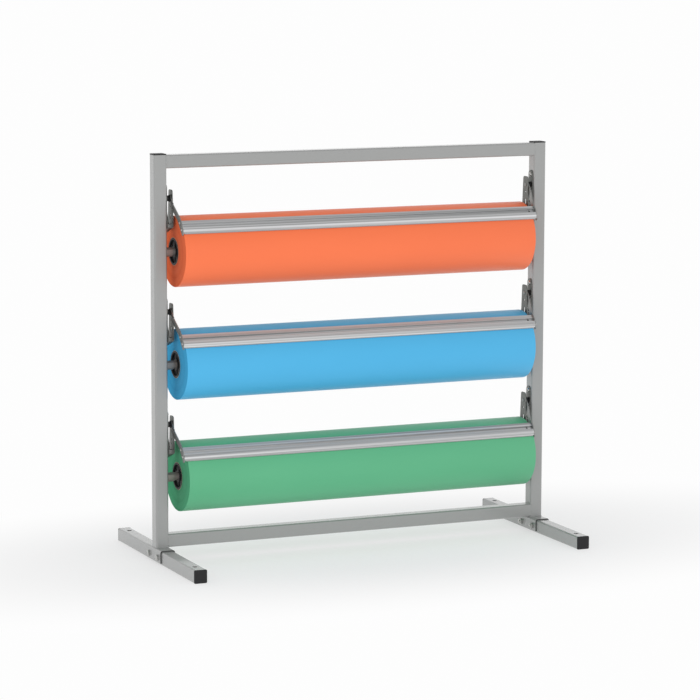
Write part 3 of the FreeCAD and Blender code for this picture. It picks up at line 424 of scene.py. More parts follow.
def wound_end_finish(name, color, line_color, centre):
    """The end of a roll: rings round its axis, each a few turns of paper, shaded like a dish."""
    material, tree, shader = new_finish(name, color, 0.85, Specular_IOR_Level=0.15)
    place = add(tree, "ShaderNodeTexCoord").outputs["Object"]
    centred = add(tree, "ShaderNodeMapping", {"vector_type": "POINT"}, Vector=place)
    centred.inputs["Location"].default_value = (0.0, -centre.y, -centre.z)
    across = add(
        tree, "ShaderNodeVectorMath", {"operation": "MULTIPLY"}, i0=centred.outputs["Vector"],
        i1=(0.0, 1.0, 1.0),
    ).outputs["Vector"]
    off_axis = add(tree, "ShaderNodeVectorMath", {"operation": "LENGTH"}, i0=across)
    distance = off_axis.outputs["Value"]
    in_a_line = {"noise_dimensions": "1D"}
    turns = add(tree, "ShaderNodeTexNoise", in_a_line, W=distance, Scale=900.0, Detail=4.0)
    broad = add(tree, "ShaderNodeTexNoise", in_a_line, W=distance, Scale=90.0, Detail=1.0)
    both = add(
        tree, "ShaderNodeMath", {"operation": "MULTIPLY"}, i0=turns.outputs["Fac"],
        i1=broad.outputs["Fac"],
    )
    rings = add(tree, "ShaderNodeMapRange", {"clamp": True}, Value=both.outputs["Value"])
    set_range(rings, 0.1, 0.4)
    tones = mix_colors(tree, rings.outputs["Result"], line_color, color)
    tree.links.new(tones, shader.inputs["Base Color"])
    outwards = add(tree, "ShaderNodeVectorMath", {"operation": "NORMALIZE"}, i0=across)
    outwards = add(
        tree, "ShaderNodeVectorTransform",
        {"vector_type": "VECTOR", "convert_from": "OBJECT", "convert_to": "WORLD"},
        Vector=outwards.outputs["Vector"],
    )
    dish = add(
        tree, "ShaderNodeVectorMath", {"operation": "MULTIPLY_ADD"}, i0=outwards.outputs["Vector"],
        i1=(-DISH,) * 3, i2=add(tree, "ShaderNodeNewGeometry").outputs["Normal"],
    )
    dish = add(tree, "ShaderNodeVectorMath", {"operation": "NORMALIZE"}, i0=dish.outputs["Vector"])
    edges_of_paper = bump_normal(tree, turns.outputs["Fac"], 0.0001, dish.outputs["Vector"])
    tree.links.new(edges_of_paper, shader.inputs["Normal"])
    return material


print("paper recipes ready")

# %% [markdown]
# Each deck's paper has two close tones, and its ends have a tone of their own and a darker one for
# the lines between the turns.

# %% Orange, blue and green
PAPERS = {
    "top": ("orange_paper", (0.92, 0.18, 0.057), (0.86, 0.16, 0.05)),
    "middle": ("blue_paper", (0.065, 0.445, 0.77), (0.055, 0.41, 0.72)),
    "bottom": ("green_paper", (0.105, 0.455, 0.235), (0.09, 0.415, 0.21)),
}
ENDS = {
    "top": ((0.98, 0.2, 0.075), (0.86, 0.14, 0.048)),
    "middle": ((0.075, 0.5, 0.86), (0.05, 0.41, 0.75)),
    "bottom": ((0.105, 0.47, 0.245), (0.075, 0.39, 0.195)),
}
roll_axis = {deck: Vector(joints[deck + "_roll_spin"]["pos_m"]) for deck in DECKS}
paper, wound_end = {}, {}
for deck, (name, color, shade) in PAPERS.items():
    paper[deck] = paper_finish(name, color, shade)
    wound_end[deck] = wound_end_finish(name + "_ends", *ENDS[deck], roll_axis[deck])
print("papers:", [PAPERS[deck][0] for deck in DECKS])

# %% [markdown]
# ## Dress the solids
#
# A solid whose shape is right keeps its mesh and only gets a finish. Each name ends in the kind
# of piece it is, so one short table of endings says which finish goes where. The first ending
# that fits counts.

# %% Give each solid its finish
FINISHES = (
    ("_upright", frame_paint), ("_rail", frame_paint), ("_foot", frame_paint),
    ("_saddle", saddle_paint), ("_caps", black_plastic), ("saddle_bolts", bright_zinc),
    ("saddle_nuts", bright_zinc), ("bracket_screws", bright_zinc), ("_bracket", shaded_zinc),
    ("_axle_cradles", axle_steel), ("_pivot_pins", zinc_steel), ("_springs", spring_steel),
    ("_core_tube", core_board), ("_core_plugs", black_plastic), ("_axle", axle_steel),
    ("_cutter_bar", bar_aluminium), ("_cutter_blade", blade_steel), ("_arm", zinc_steel),
    ("_bar_screws", bright_zinc), ("_pivot_bushings", black_plastic),
)
for name, solid in frame["nodes"].items():
    finish = next((material for ending, material in FINISHES if name.endswith(ending)), None)
    if finish is None:
        finish = paper[name.split("_")[0]]
    solid.data.materials.clear()
    solid.data.materials.append(finish)
print("dressed", len(frame["nodes"]), "solids")

# %% [markdown]
# ## Helpers for new pieces
#
# Where a solid is too plain, a new piece takes its place. Nearly all of them are turned, bevelled
# or bent from wire, so a few helpers cover them. `spun` turns an open profile round the X axis with
# the spin operator. `reshape_ring` then pushes one ring of points in or out by angle, which makes a
# hexagon or a cross out of a circle. `wire_path` rounds the corners of a polyline, and `wire_mesh`
# runs a round section along it.


# %% Turned shapes
SAME_PLACE = 2e-6
CROSS_ARM_ANGLE = 0.25


def spun(sheet, profile, steps):
    """Spin a profile of (along X, out from X) points a full turn; returns the new points."""
    before = set(sheet.verts)
    points = [sheet.verts.new((along, 0.0, out)) for along, out in profile]
    lines = [sheet.edges.new(pair) for pair in zip(points, points[1:])]
    bmesh.ops.spin(
        sheet, geom=points + lines, cent=(0, 0, 0), axis=(1, 0, 0), angle=2 * math.pi, steps=steps,
        use_merge=True,
    )
    made = [vert for vert in sheet.verts if vert not in before]
    bmesh.ops.remove_doubles(sheet, verts=made, dist=1e-6)
    return [vert for vert in sheet.verts if vert not in before]


def reshape_ring(points, ring, radius_at):
    """Give the ring at (along, out) a radius that depends on the angle."""
    along, out = ring
    for vert in points:
        radius = math.hypot(vert.co.y, vert.co.z)
        if abs(vert.co.x - along) < SAME_PLACE and abs(radius - out) < SAME_PLACE:
            scale = radius_at(math.atan2(vert.co.z, vert.co.y)) / radius
            vert.co.y *= scale
            vert.co.z *= scale


def hexagon(apothem, limit=1.0):
    """Radius of a hexagon by angle, no larger than a limit."""
    step = math.pi / 3
    return lambda angle: min(limit, apothem / math.cos(angle % step - step / 2))


def cross(wide, narrow):
    """Radius of a four-armed recess by angle."""
    step = math.pi / 2

    def radius_at(angle):
        off_arm = abs((angle + step / 2) % step - step / 2)
        return wide if off_arm < CROSS_ARM_ANGLE else narrow

    return radius_at


print("turning helpers ready")


# %% Wires and finished pieces
def wire_path(corners, bend, steps=5):
    """A polyline whose inner corners are replaced by arcs of one radius."""
    path = [corners[0]]
    for before, corner, after in zip(corners, corners[1:], corners[2:]):
        back, ahead = (before - corner).normalized(), (after - corner).normalized()
        half = back.angle(ahead) / 2
        run = bend / math.tan(half)
        centre = corner + (back + ahead).normalized() * bend / math.sin(half)
        first = (corner + back * run - centre).normalized()
        last = (corner + ahead * run - centre).normalized()
        path += [centre + first.slerp(last, number / steps) * bend for number in range(steps + 1)]
    return path + [corners[-1]]


def wire_mesh(name, path, radius, closed=False, swell=None, sides=2):
    """A round section run along a path; swell gives each point's share of the radius."""
    curve = bpy.data.curves.new(name + "_path", "CURVE")
    curve.dimensions = "3D"
    curve.bevel_depth = radius
    curve.bevel_resolution = sides
    curve.use_fill_caps = not closed
    line = curve.splines.new("POLY")
    line.points.add(len(path) - 1)
    for number, (point, place) in enumerate(zip(line.points, path)):
        point.co = (*place, 1)
        point.radius = swell(number) if swell else 1.0
    line.use_cyclic_u = closed
    holder = bpy.data.objects.new(name + "_path", curve)
    mesh = bpy.data.meshes.new_from_object(holder)
    bpy.data.objects.remove(holder)
    bpy.data.curves.remove(curve)
    return mesh


def make_piece(name, shape, material, body=None, sharp=35.0):
    """Make an object of a bmesh or a mesh, smooth up to an angle, and let it ride a body."""
    if isinstance(shape, bmesh.types.BMesh):
        bmesh.ops.recalc_face_normals(shape, faces=shape.faces)
        mesh = bpy.data.meshes.new(name)
        shape.to_mesh(mesh)
        shape.free()
    else:
        mesh = shape
    mesh.name = name
    for finish in material if isinstance(material, tuple) else (material,):
        mesh.materials.append(finish)
    mesh.shade_smooth()
    mesh.set_sharp_from_angle(angle=math.radians(sharp))
    piece = bpy.data.objects.new(name, mesh)
    bpy.context.scene.collection.objects.link(piece)
    if body is not None:
        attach(piece, body)
    return piece


print("wire and piece helpers ready")

# %% [markdown]
# ## Wound paper
#
# A roll is one long sheet. Its outer turn ends under the cutter's lip, so the radius shrinks by the
# thickness of the paper over one turn and leaves a fine step there. The profile of the roll, with
# slightly softened rims, is spun once round, then each outer point is pulled in by its angle. The
# flat ends get the finish with rings.

# %% Turn the three rolls
PAPER_STEP = 0.00018
CORE_FIT = 0.00005
STEP_ANGLE = math.radians(180 - 33.5)
RIM, RIM_SHARE = 0.0009, 0.3
ROLL_STEPS = 160
FACES_END, NO_TURN = 0.9, 1e-4
for deck in DECKS:
    spin = joints[deck + "_roll_spin"]
    low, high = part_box(deck + "_paper_roll")
    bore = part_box(deck + "_core_tube")[1].z - roll_axis[deck].z + CORE_FIT
    radius = high.z - roll_axis[deck].z
    inset = RIM * RIM_SHARE
    section = [
        (low.x, bore), (low.x, radius - RIM), (low.x + inset, radius - inset),
        (low.x + RIM, radius), (high.x - RIM, radius), (high.x - inset, radius - inset),
        (high.x, radius - RIM), (high.x, bore),
    ]
    sheet = bmesh.new()
    points = [
        sheet.verts.new((along, out * math.cos(STEP_ANGLE), out * math.sin(STEP_ANGLE)))
        for along, out in section
    ]
    face = sheet.faces.new(points)
    bmesh.ops.spin(
        sheet, geom=[face, *face.edges, *face.verts], cent=(0, 0, 0), axis=(1, 0, 0),
        angle=-2 * math.pi, steps=ROLL_STEPS, use_merge=False,
    )
    first = set(points)
    for vert in sheet.verts:
        out = math.hypot(vert.co.y, vert.co.z)
        if out > radius - 2 * RIM:
            turned = (STEP_ANGLE - math.atan2(vert.co.z, vert.co.y)) % (2 * math.pi) / (2 * math.pi)
            turned = 0.0 if vert in first else (1.0 if turned < NO_TURN else turned)
            vert.co.yz = vert.co.yz * ((out - PAPER_STEP * turned) / out)
    for wall in sheet.faces:
        wall.normal_update()
        wall.material_index = 1 if abs(wall.normal.x) > FACES_END else 0
    bmesh.ops.translate(sheet, verts=sheet.verts, vec=roll_axis[deck])
    finishes = (paper[deck], wound_end[deck])
    roll = make_piece(
        deck + "_wound_paper", sheet, finishes, spin["child"], sharp=60.0
    )
    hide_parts(deck + "_paper_roll")
    print(roll.name, len(roll.data.polygons), "faces, radius", round(radius, 4))

# %% [markdown]
# Each plug has a thin rim that lies on the end of the core and hides its edge.

# %% Rims of the plugs
PLUG_RIM_STEPS = 64
PLUG_RIM = (  # (out of the core's end, below the core's surface)
    (0.0, 0.0009), (0.0006, 0.0010), (0.0009, 0.0013), (0.0009, 0.0048), (0.0006, 0.0053),
    (0.0, 0.0054),
)
for deck in DECKS:
    low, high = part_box(deck + "_core_tube")
    core_radius = high.z - roll_axis[deck].z
    sheet = bmesh.new()
    for end, way in ((low.x, -1), (high.x, 1)):
        section = [(end + way * out, core_radius - down) for out, down in PLUG_RIM]
        spun(sheet, section, PLUG_RIM_STEPS)
    centre = Vector((0, roll_axis[deck].y, roll_axis[deck].z))
    bmesh.ops.translate(sheet, verts=sheet.verts, vec=centre)
    body = joints[deck + "_roll_spin"]["child"]
    make_piece(deck + "_plug_rims", sheet, black_plastic, body)
print("plug rims ready")

# %% [markdown]
# ## Torsion springs
#
# Each cutter is pressed onto the paper by two springs. One leg hooks into the bracket, three turns
# and a bit lie round the bushing, and the other leg lies along the arm and hooks over it. When the
# cutter is lifted, the fixed leg stays, the moving leg goes with the arm, and the turns between
# them wind up. Each spring is drawn as three pieces: the fixed leg rides the frame, the moving leg
# rides the cutter, and the coil is attached to neither.
#
# One spring is drawn at the origin, with X running inward from the upright's face, and `seat` takes
# its points to their place on either side. The arm hangs from the pivot and leans forward by the
# angle at which the bar touches the paper.

# %% Draw one spring
PIVOT_HEIGHT, CONTACT_RADIUS = 0.1255, 0.0843
WIRE, COIL_RADIUS, COIL_PITCH, COIL_START = 0.0008, 0.00615, 0.00166, 0.0031
ANCHOR_DROP, ANCHOR_BEND, HOOK_DEPTH = 0.0605, 0.009, 0.0146
LEG_REACH, LEG_CLEAR, ARM_INSIDE, SPRING_BEND = 0.023, 0.0107, 0.01325, 0.0022
HALF_TURNS, TURN_STEPS = 7, 28
tilt = math.asin(CONTACT_RADIUS / PIVOT_HEIGHT)
lean = math.asin(COIL_RADIUS / ANCHOR_DROP)
sweep = HALF_TURNS * math.pi - tilt + lean
rise_per_angle = COIL_PITCH / (2 * math.pi)
coil_start = Vector((COIL_START, 0, 0))
coil_end = Vector((COIL_START + rise_per_angle * sweep, 0, 0))
along_arm = Vector((0, -math.sin(tilt), -math.cos(tilt)))
over_arm = Vector((0, -math.cos(tilt), math.sin(tilt)))
fixed_corners = [
    Vector((HOOK_DEPTH, 0, -ANCHOR_DROP)), Vector((ANCHOR_BEND, 0, -ANCHOR_DROP)),
    Vector((COIL_START, COIL_RADIUS * math.cos(lean), -COIL_RADIUS * math.sin(lean))),
]
arm_corner = coil_end + along_arm * LEG_REACH + over_arm * LEG_CLEAR
moving_corners = [
    coil_end + over_arm * COIL_RADIUS, arm_corner, Vector((ARM_INSIDE, arm_corner.y, arm_corner.z))
]
coil_steps = round(TURN_STEPS * sweep / (2 * math.pi))
coil_path = []
for number in range(coil_steps + 1):
    angle = sweep * number / coil_steps
    coil_path.append(Vector((
        COIL_START + rise_per_angle * angle, COIL_RADIUS * math.cos(angle - lean),
        COIL_RADIUS * math.sin(angle - lean),
    )))
print("one spring drawn, with", len(coil_path), "points in its coil")

# %% Place the springs
inner_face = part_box("right_upright")[0].x


def seat(path, side, pivot):
    """From distances off the upright's face to the rack's own frame."""
    return [
        Vector((side * (inner_face - point.x), pivot.y + point.y, pivot.z + point.z))
        for point in path
    ]


pivots = {deck: Vector(joints[deck + "_cutter_lift"]["pos_m"]) for deck in DECKS}
for deck in DECKS:
    lift = joints[deck + "_cutter_lift"]
    for side_name, side in SIDES:
        stem = f"{deck}_{side_name}_spring"
        pieces = []
        for part_name, path, body in (
            ("_fixed_leg", wire_path(fixed_corners, SPRING_BEND), lift["parent"]),
            ("_moving_leg", wire_path(moving_corners, SPRING_BEND), lift["child"]),
            ("_coil", coil_path, None),
        ):
            mesh = wire_mesh(stem, seat(path, side, pivots[deck]), WIRE)
            pieces.append(make_piece(stem + part_name, mesh, spring_steel, body))
        coil = pieces[-1]
        start, end = seat([coil_start, coil_end], side, pivots[deck])
        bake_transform(coil)
        for piece in pieces:
            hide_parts(deck + "_springs")
print("springs: 6, coil of", len(coil.data.polygons), "faces")

# %% [markdown]
# ## Screws and bolts
#
# Button-head screws with a hexagon socket hold the brackets, pan-head screws with a cross recess
# hold each bar's ends, a small grub screw sits in each bar's groove, and hexagon bolts hold the
# saddles. Each kind is turned from a profile, gets its recess or its flats by reshaping rings, and
# is then placed by a matrix. The steps of a turn are a multiple of the recess's sides, so each of
# its corners gets a point. Profiles run along X from the head's face to the tip, with the head's
# underside at zero.


# %% Screws
SIX_SIDED_STEPS, FOUR_ARMED_STEPS = 24, 32
CROSS_FLOOR, CROSS_MOUTH = (0.0010, 0.00035), (0.0015, 0.0005)
BUTTON_PROFILE = [
    (0.0014, 0.0), (0.0014, 0.0017), (0.0032, 0.0019), (0.0032, 0.0026), (0.00305, 0.0036),
    (0.0024, 0.0048), (0.0013, 0.0058), (0.0003, 0.0063), (0.0, 0.0062), (0.0, 0.003),
    (-0.0112, 0.003), (-0.012, 0.0024), (-0.012, 0.0),
]
PAN_LENGTH = 0.01425
PAN_PROFILE = [
    (0.0009, 0.0), (0.0009, 0.0004), (0.0020, 0.0006), (0.0020, 0.0016), (0.00175, 0.0024),
    (0.0012, 0.0029), (0.0005, 0.003), (0.0, 0.0029), (0.0, 0.0015), (-PAN_LENGTH, 0.0015),
    (-PAN_LENGTH, 0.0),
]
GRUB_PROFILE = [
    (-0.0013, 0.0), (-0.0013, 0.001), (0.0, 0.0011), (0.0, 0.0016), (-0.0004, 0.002),
    (-0.0024, 0.002), (-0.0024, 0.0),
]


def placed(sheet, points, place, direction):
    """Move what was drawn along +X at the origin to its place and direction."""
    turn = Vector((1, 0, 0)).rotation_difference(direction).to_matrix().to_4x4()
    bmesh.ops.transform(sheet, matrix=Matrix.Translation(place) @ turn, verts=points)


def socket_screw(sheet, profile, place, direction):
    """A screw whose second and third profile points are the rings of a hexagon socket."""
    points = spun(sheet, profile, SIX_SIDED_STEPS)
    for ring in profile[1:3]:
        reshape_ring(points, ring, hexagon(ring[1]))
    placed(sheet, points, place, direction)


def pan_screw(sheet, place, direction):
    """A pan head with a cross recess that narrows toward its floor."""
    points = spun(sheet, PAN_PROFILE, FOUR_ARMED_STEPS)
    reshape_ring(points, PAN_PROFILE[1], cross(*CROSS_FLOOR))
    reshape_ring(points, PAN_PROFILE[2], cross(*CROSS_MOUTH))
    placed(sheet, points, place, direction)


print("screws defined")

# %% [markdown]
# Bolt head and nut share their six sides: one ring at the seat and one at the start of the
# chamfer are circles a little wider than the flats, and both are reshaped to hexagons.


# %% Bolts and nuts
HALF_FLATS, HALF_CORNERS, CHAMFER = 0.0065, 0.0074, 0.0004
BOLT_LENGTH, BOLT_RADIUS, BOLT_HEAD = 0.04605, 0.004, 0.0053
BOLT_TIP = 0.0033
THREAD_LENGTH, THREAD_PITCH, THREAD_ROOT, THREAD_END = 0.014, 0.00125, 0.0035, 0.0014
THREAD_SHAPE = ((0.0003, THREAD_ROOT), (0.00085, THREAD_ROOT), (0.0011, BOLT_RADIUS))
NUT_HEIGHT, NUT_BORE = 0.0065, 0.0041
MOUTH_DEPTH, MOUTH_FLARE = 0.0006, 0.0005


def hex_sides(height):
    """Profile of six sides from the seat up; its first two points are the rings to reshape."""
    return [(0.0, 0.00652), (height - 0.0007, 0.00651), (height - 0.0002, 0.0062), (height, 0.0058)]


def placed_hexagon(sheet, profile, height, place, direction):
    """Turn a profile that holds hex_sides, give it its six flats, and place it."""
    points = spun(sheet, profile, SIX_SIDED_STEPS)
    for ring, corner in zip(hex_sides(height), (HALF_CORNERS, HALF_CORNERS - CHAMFER)):
        reshape_ring(points, ring, hexagon(HALF_FLATS, corner))
    placed(sheet, points, place, direction)


def hex_bolt(sheet, place, direction):
    """Head with chamfered corners, plain shank, and a threaded tail."""
    thread = THREAD_LENGTH - BOLT_LENGTH
    head = [(BOLT_HEAD, 0.0), *reversed(hex_sides(BOLT_HEAD))]
    profile = [*head, (0.0, BOLT_RADIUS), (thread, BOLT_RADIUS)]
    while thread > -BOLT_LENGTH + THREAD_END:
        profile += [(thread - back, out) for back, out in THREAD_SHAPE]
        thread -= THREAD_PITCH
    profile += [(-BOLT_LENGTH, BOLT_TIP), (-BOLT_LENGTH, 0.0)]
    placed_hexagon(sheet, profile, BOLT_HEAD, place, direction)


def hex_nut(sheet, place, direction):
    """A nut with a countersunk mouth on its outer side."""
    mouth = [(NUT_HEIGHT, NUT_BORE + MOUTH_FLARE), (NUT_HEIGHT - MOUTH_DEPTH, NUT_BORE)]
    profile = [(0.0, NUT_BORE), *hex_sides(NUT_HEIGHT), *mouth, (0.0, NUT_BORE)]
    placed_hexagon(sheet, profile, NUT_HEIGHT, place, direction)


print("bolts and nuts defined")

# %% [markdown]
# The brackets' screws lie above and below the pivot. The bar's screws are placed along the arm: so
# far down from the bar's top and so far over the line from the pivot to the point where the bar
# touches the paper. The saddles' bolts run through the foot from outside to inside.

# %% Screws of the brackets
FRAME_BODY = joints["top_cutter_lift"]["parent"]
BRACKET_PLATE, BRACKET_SCREW_RISES = 0.002, (0.0245, -0.0415)
sheet = bmesh.new()
for deck in DECKS:
    pivot = pivots[deck]
    for side_name, side in SIDES:
        for rise in BRACKET_SCREW_RISES:
            place = Vector((side * (inner_face - BRACKET_PLATE), pivot.y, pivot.z + rise))
            socket_screw(sheet, BUTTON_PROFILE, place, Vector((-side, 0, 0)))
screws = make_piece(
    "bracket_button_screws", sheet, bright_zinc, FRAME_BODY, sharp=40.0
)
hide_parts("bracket_screws")
print(screws.name, len(screws.data.polygons), "faces")

# %% Screws of the bars
ARM_PLATE, BAR_RISE = 0.00225, 0.024
BAR_SCREW_DOWNS, BAR_SCREW_OVER = (0.006, 0.026), 0.0033
GRUB_DOWN, GRUB_OVER, GRUB_FROM_END = 0.0146, 0.0034, 0.014
bar_top = math.sqrt(PIVOT_HEIGHT ** 2 - CONTACT_RADIUS ** 2) - BAR_RISE
for deck in DECKS:
    cutter = joints[deck + "_cutter_lift"]["child"]
    bar_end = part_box(deck + "_cutter_bar")[1].x
    sheet = bmesh.new()
    for side_name, side in SIDES:
        for down in BAR_SCREW_DOWNS:
            place = pivots[deck] + along_arm * (bar_top + down) + over_arm * BAR_SCREW_OVER
            place.x = side * (bar_end + ARM_PLATE)
            pan_screw(sheet, place, Vector((side, 0, 0)))
    screws = make_piece(
        deck + "_pan_screws", sheet, bright_zinc, cutter, sharp=40.0
    )
    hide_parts(deck + "_bar_screws")
    sheet = bmesh.new()
    place = pivots[deck] + along_arm * (bar_top + GRUB_DOWN) + over_arm * GRUB_OVER
    place.x = bar_end - GRUB_FROM_END
    socket_screw(sheet, GRUB_PROFILE, place, over_arm)
    grub_screw = make_piece(
        deck + "_grub_screw", sheet, black_steel, cutter, sharp=40.0
    )
    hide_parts(deck + "_bar_screws")
    print(screws.name, "and", grub_screw.name)

# %% Bolts and nuts of the saddles
SADDLE_BOLT_HEIGHT, SADDLE_BOLT_PLACES = 0.0159, (-0.027, 0.033)
bolts, nuts = bmesh.new(), bmesh.new()
for side_name, side in SIDES:
    low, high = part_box(side_name + "_saddle")
    outside, inside = (high.x, low.x) if side > 0 else (low.x, high.x)
    for y in SADDLE_BOLT_PLACES:
        hex_bolt(bolts, Vector((outside, y, SADDLE_BOLT_HEIGHT)), Vector((side, 0, 0)))
        hex_nut(nuts, Vector((inside, y, SADDLE_BOLT_HEIGHT)), Vector((-side, 0, 0)))
for name, sheet in (("bolts", bolts), ("nuts", nuts)):
    piece = make_piece(
        "threaded_saddle_" + name, sheet, bright_zinc, FRAME_BODY, sharp=30.0
    )
    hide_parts("saddle_" + name)
    print(piece.name, len(piece.data.polygons), "faces")

# %% [markdown]
# ## End caps
#
# A cap is a square flange with round corners and a softened rim, and a hollow plug behind it. Both
# are boxes whose edges the bevel operator rounds: first the four corners, then the rim of the top.


# %% The shape of a cap
TUBE = 0.03175
CAP_FLANGE, CAP_CORNER, CAP_RIM = 0.0025, 0.0032, 0.0009
PLUG_SIDE, PLUG_DEPTH, PLUG_CORNER, PLUG_WALL, PLUG_HOLLOW = 0.02825, 0.014, 0.0026, 0.002, 0.013
LEVEL = 1e-6


def rounded_box(sheet, side, low, high, corner, rim=0.0):
    """A square box between two heights with round corners and, if asked, a soft upper rim."""
    before = set(sheet.verts)
    bmesh.ops.create_cube(sheet, size=1.0)
    points = [vert for vert in sheet.verts if vert not in before]
    bmesh.ops.scale(sheet, vec=(side, side, high - low), verts=points)
    bmesh.ops.translate(sheet, vec=(0, 0, (low + high) / 2), verts=points)
    edges = {edge for vert in points for edge in vert.link_edges}
    upright_edges = [edge for edge in edges if abs(edge.verts[0].co.z - edge.verts[1].co.z) > LEVEL]
    bmesh.ops.bevel(
        sheet, geom=upright_edges, offset=corner, segments=6, affect="EDGES", profile=0.5,
        material=-1,
    )
    if rim:
        points = [vert for vert in sheet.verts if vert not in before]
        edges = {edge for vert in points for edge in vert.link_edges}
        rim_edges = [
            edge for edge in edges
            if len(edge.link_faces) == 2
            and all(abs(vert.co.z - high) < LEVEL for vert in edge.verts)
        ]
        bmesh.ops.bevel(
            sheet, geom=rim_edges, offset=rim, segments=3, affect="EDGES", profile=0.5, material=-1,
        )
    return [vert for vert in sheet.verts if vert not in before]


def cap(sheet, place, direction):
    """A cap whose flange lies on place and whose plug points against the direction."""
    flange = rounded_box(sheet, TUBE, 0.0, CAP_FLANGE, CAP_CORNER, CAP_RIM)
    plug = rounded_box(sheet, PLUG_SIDE, -PLUG_DEPTH, 0.0, PLUG_CORNER)
    mouth = [
        face for face in {face for vert in plug for face in vert.link_faces}
        if all(abs(vert.co.z + PLUG_DEPTH) < LEVEL for vert in face.verts)
    ]
    before = set(sheet.verts)
    bmesh.ops.inset_region(sheet, faces=mouth, thickness=PLUG_WALL)
    deep = bmesh.ops.extrude_face_region(sheet, geom=mouth)
    bmesh.ops.delete(sheet, geom=mouth, context="FACES")
    floor_points = [item for item in deep["geom"] if isinstance(item, bmesh.types.BMVert)]
    bmesh.ops.translate(sheet, vec=(0, 0, PLUG_HOLLOW), verts=floor_points)
    points = {*flange, *plug, *(vert for vert in sheet.verts if vert not in before)}
    turn = Vector((0, 0, 1)).rotation_difference(direction).to_matrix().to_4x4()
    bmesh.ops.transform(sheet, matrix=Matrix.Translation(place) @ turn, verts=list(points))


print("cap shape ready")

# %% Mould the caps
caps = {name: bmesh.new() for name in ("upright_caps", "left_foot_caps", "right_foot_caps")}
for side_name, side in SIDES:
    low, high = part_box(side_name + "_upright")
    middle = (low + high) / 2
    cap(caps["upright_caps"], Vector((middle.x, middle.y, high.z)), Vector((0, 0, 1)))
    low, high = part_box(side_name + "_foot")
    middle = (low + high) / 2
    for y, way in ((low.y, -1), (high.y, 1)):
        cap(caps[side_name + "_foot_caps"], Vector((middle.x, y, middle.z)), Vector((0, way, 0)))
for name, sheet in caps.items():
    piece = make_piece("moulded_" + name, sheet, black_plastic, FRAME_BODY)
    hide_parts(name)
print("caps moulded")

# %% [markdown]
# ## Weld beads
#
# The tubes are welded, and the coat runs over the beads. A bead is a wire along the seam whose
# radius rises and falls every millimetre or two, like the ripples that a welder leaves. Where a
# rail meets an upright, a thicker bead lies half sunk and fills the groove at the upright's round
# corner.


# %% Seams and ripples
TUBE_CORNER, BEAD, BUTT_BEAD, BUTT_SUNK = 0.0043, 0.0012, 0.0024, 0.0016
RIPPLE_SPACING, LOW_RIPPLE, BEAD_LIFT = 0.0013, 0.8, 0.3
CORNER_STEPS = 5


def square_loop(place, side, corner, flat):
    """Points round a square with round corners; flat maps (right, up) into space."""
    straight = side / 2 - corner
    loop = []
    for quarter in range(4):
        turn = Matrix.Rotation(quarter * math.pi / 2, 2)
        count = round(2 * straight / RIPPLE_SPACING)
        for number in range(count):
            loop.append(turn @ Vector((side / 2, -straight + 2 * straight * number / count)))
        for number in range(CORNER_STEPS):
            angle = math.pi / 2 * number / CORNER_STEPS
            round_point = (straight + corner * math.cos(angle), straight + corner * math.sin(angle))
            loop.append(turn @ Vector(round_point))
    return [place + flat(*point) for point in loop]


def ripple(number):
    """Every other point of a bead is a little thinner."""
    return 1.0 if number % 2 else LOW_RIPPLE


print("seams ready")

# %% Lay the beads on the tubes
beads = []
for rail in ("top_rail", "bottom_rail"):
    low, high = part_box(rail)
    middle = (low + high) / 2
    for side_name, side in SIDES:
        place = Vector((side * (inner_face + BUTT_BEAD / 2), middle.y, middle.z))
        path = square_loop(
            place, TUBE - 2 * BUTT_SUNK, TUBE_CORNER - BUTT_SUNK,
            lambda right, up: Vector((0, right, up)),
        )
        beads.append((f"{side_name}_{rail}_weld", path, BUTT_BEAD))
for side_name, side in SIDES:
    low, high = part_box(side_name + "_upright")
    place = Vector(((low.x + high.x) / 2, (low.y + high.y) / 2, low.z + BEAD * BEAD_LIFT))
    path = square_loop(place, TUBE, TUBE_CORNER, lambda right, up: Vector((right, up, 0)))
    beads.append((f"{side_name}_upright_weld", path, BEAD))
for name, path, radius in beads:
    mesh = wire_mesh(name, path, radius, True, ripple)
    make_piece(name, mesh, frame_paint, FRAME_BODY, sharp=80.0)
print(len(beads), "beads on the tubes")

# %% [markdown]
# The six troughs that carry the axles are welded on too, with a thin bead that follows the U.

# %% Lay the beads on the troughs
CRADLE_BEAD, CRADLE_BEAD_SUNK, CRADLE_BEAD_TOP = 0.0008, 0.0003, 0.001
CRADLE_STEPS = 28
for deck in DECKS:
    low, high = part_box(deck + "_axle_cradles")
    radius = (high.y - low.y) / 2
    top = high.z - CRADLE_BEAD_TOP
    for side_name, side in SIDES:
        x = side * (inner_face - CRADLE_BEAD_SUNK)
        path = [Vector((x, roll_axis[deck].y - radius, top))]
        for number in range(CRADLE_STEPS + 1):
            angle = math.pi + math.pi * number / CRADLE_STEPS
            y = roll_axis[deck].y + radius * math.cos(angle)
            path.append(Vector((x, y, roll_axis[deck].z + radius * math.sin(angle))))
        path.append(Vector((x, roll_axis[deck].y + radius, top)))
        name = f"{deck}_{side_name}_cradle_weld"
        mesh = wire_mesh(name, path, CRADLE_BEAD, False, ripple, 1)
        make_piece(name, mesh, axle_steel, FRAME_BODY, sharp=80.0)
print("troughs welded")

# %% [markdown]
# ## Room, light and camera
#
# The rack stands on a lit white floor in a bright studio. Near the rack the floor takes soft
# shadows, lifted by a little glow of its own, and further out the glow takes over and turns it to
# plain white, so no horizon shows. The rack is about twice as wide as it is deep, so the distance
# that counts for this is halved along X.

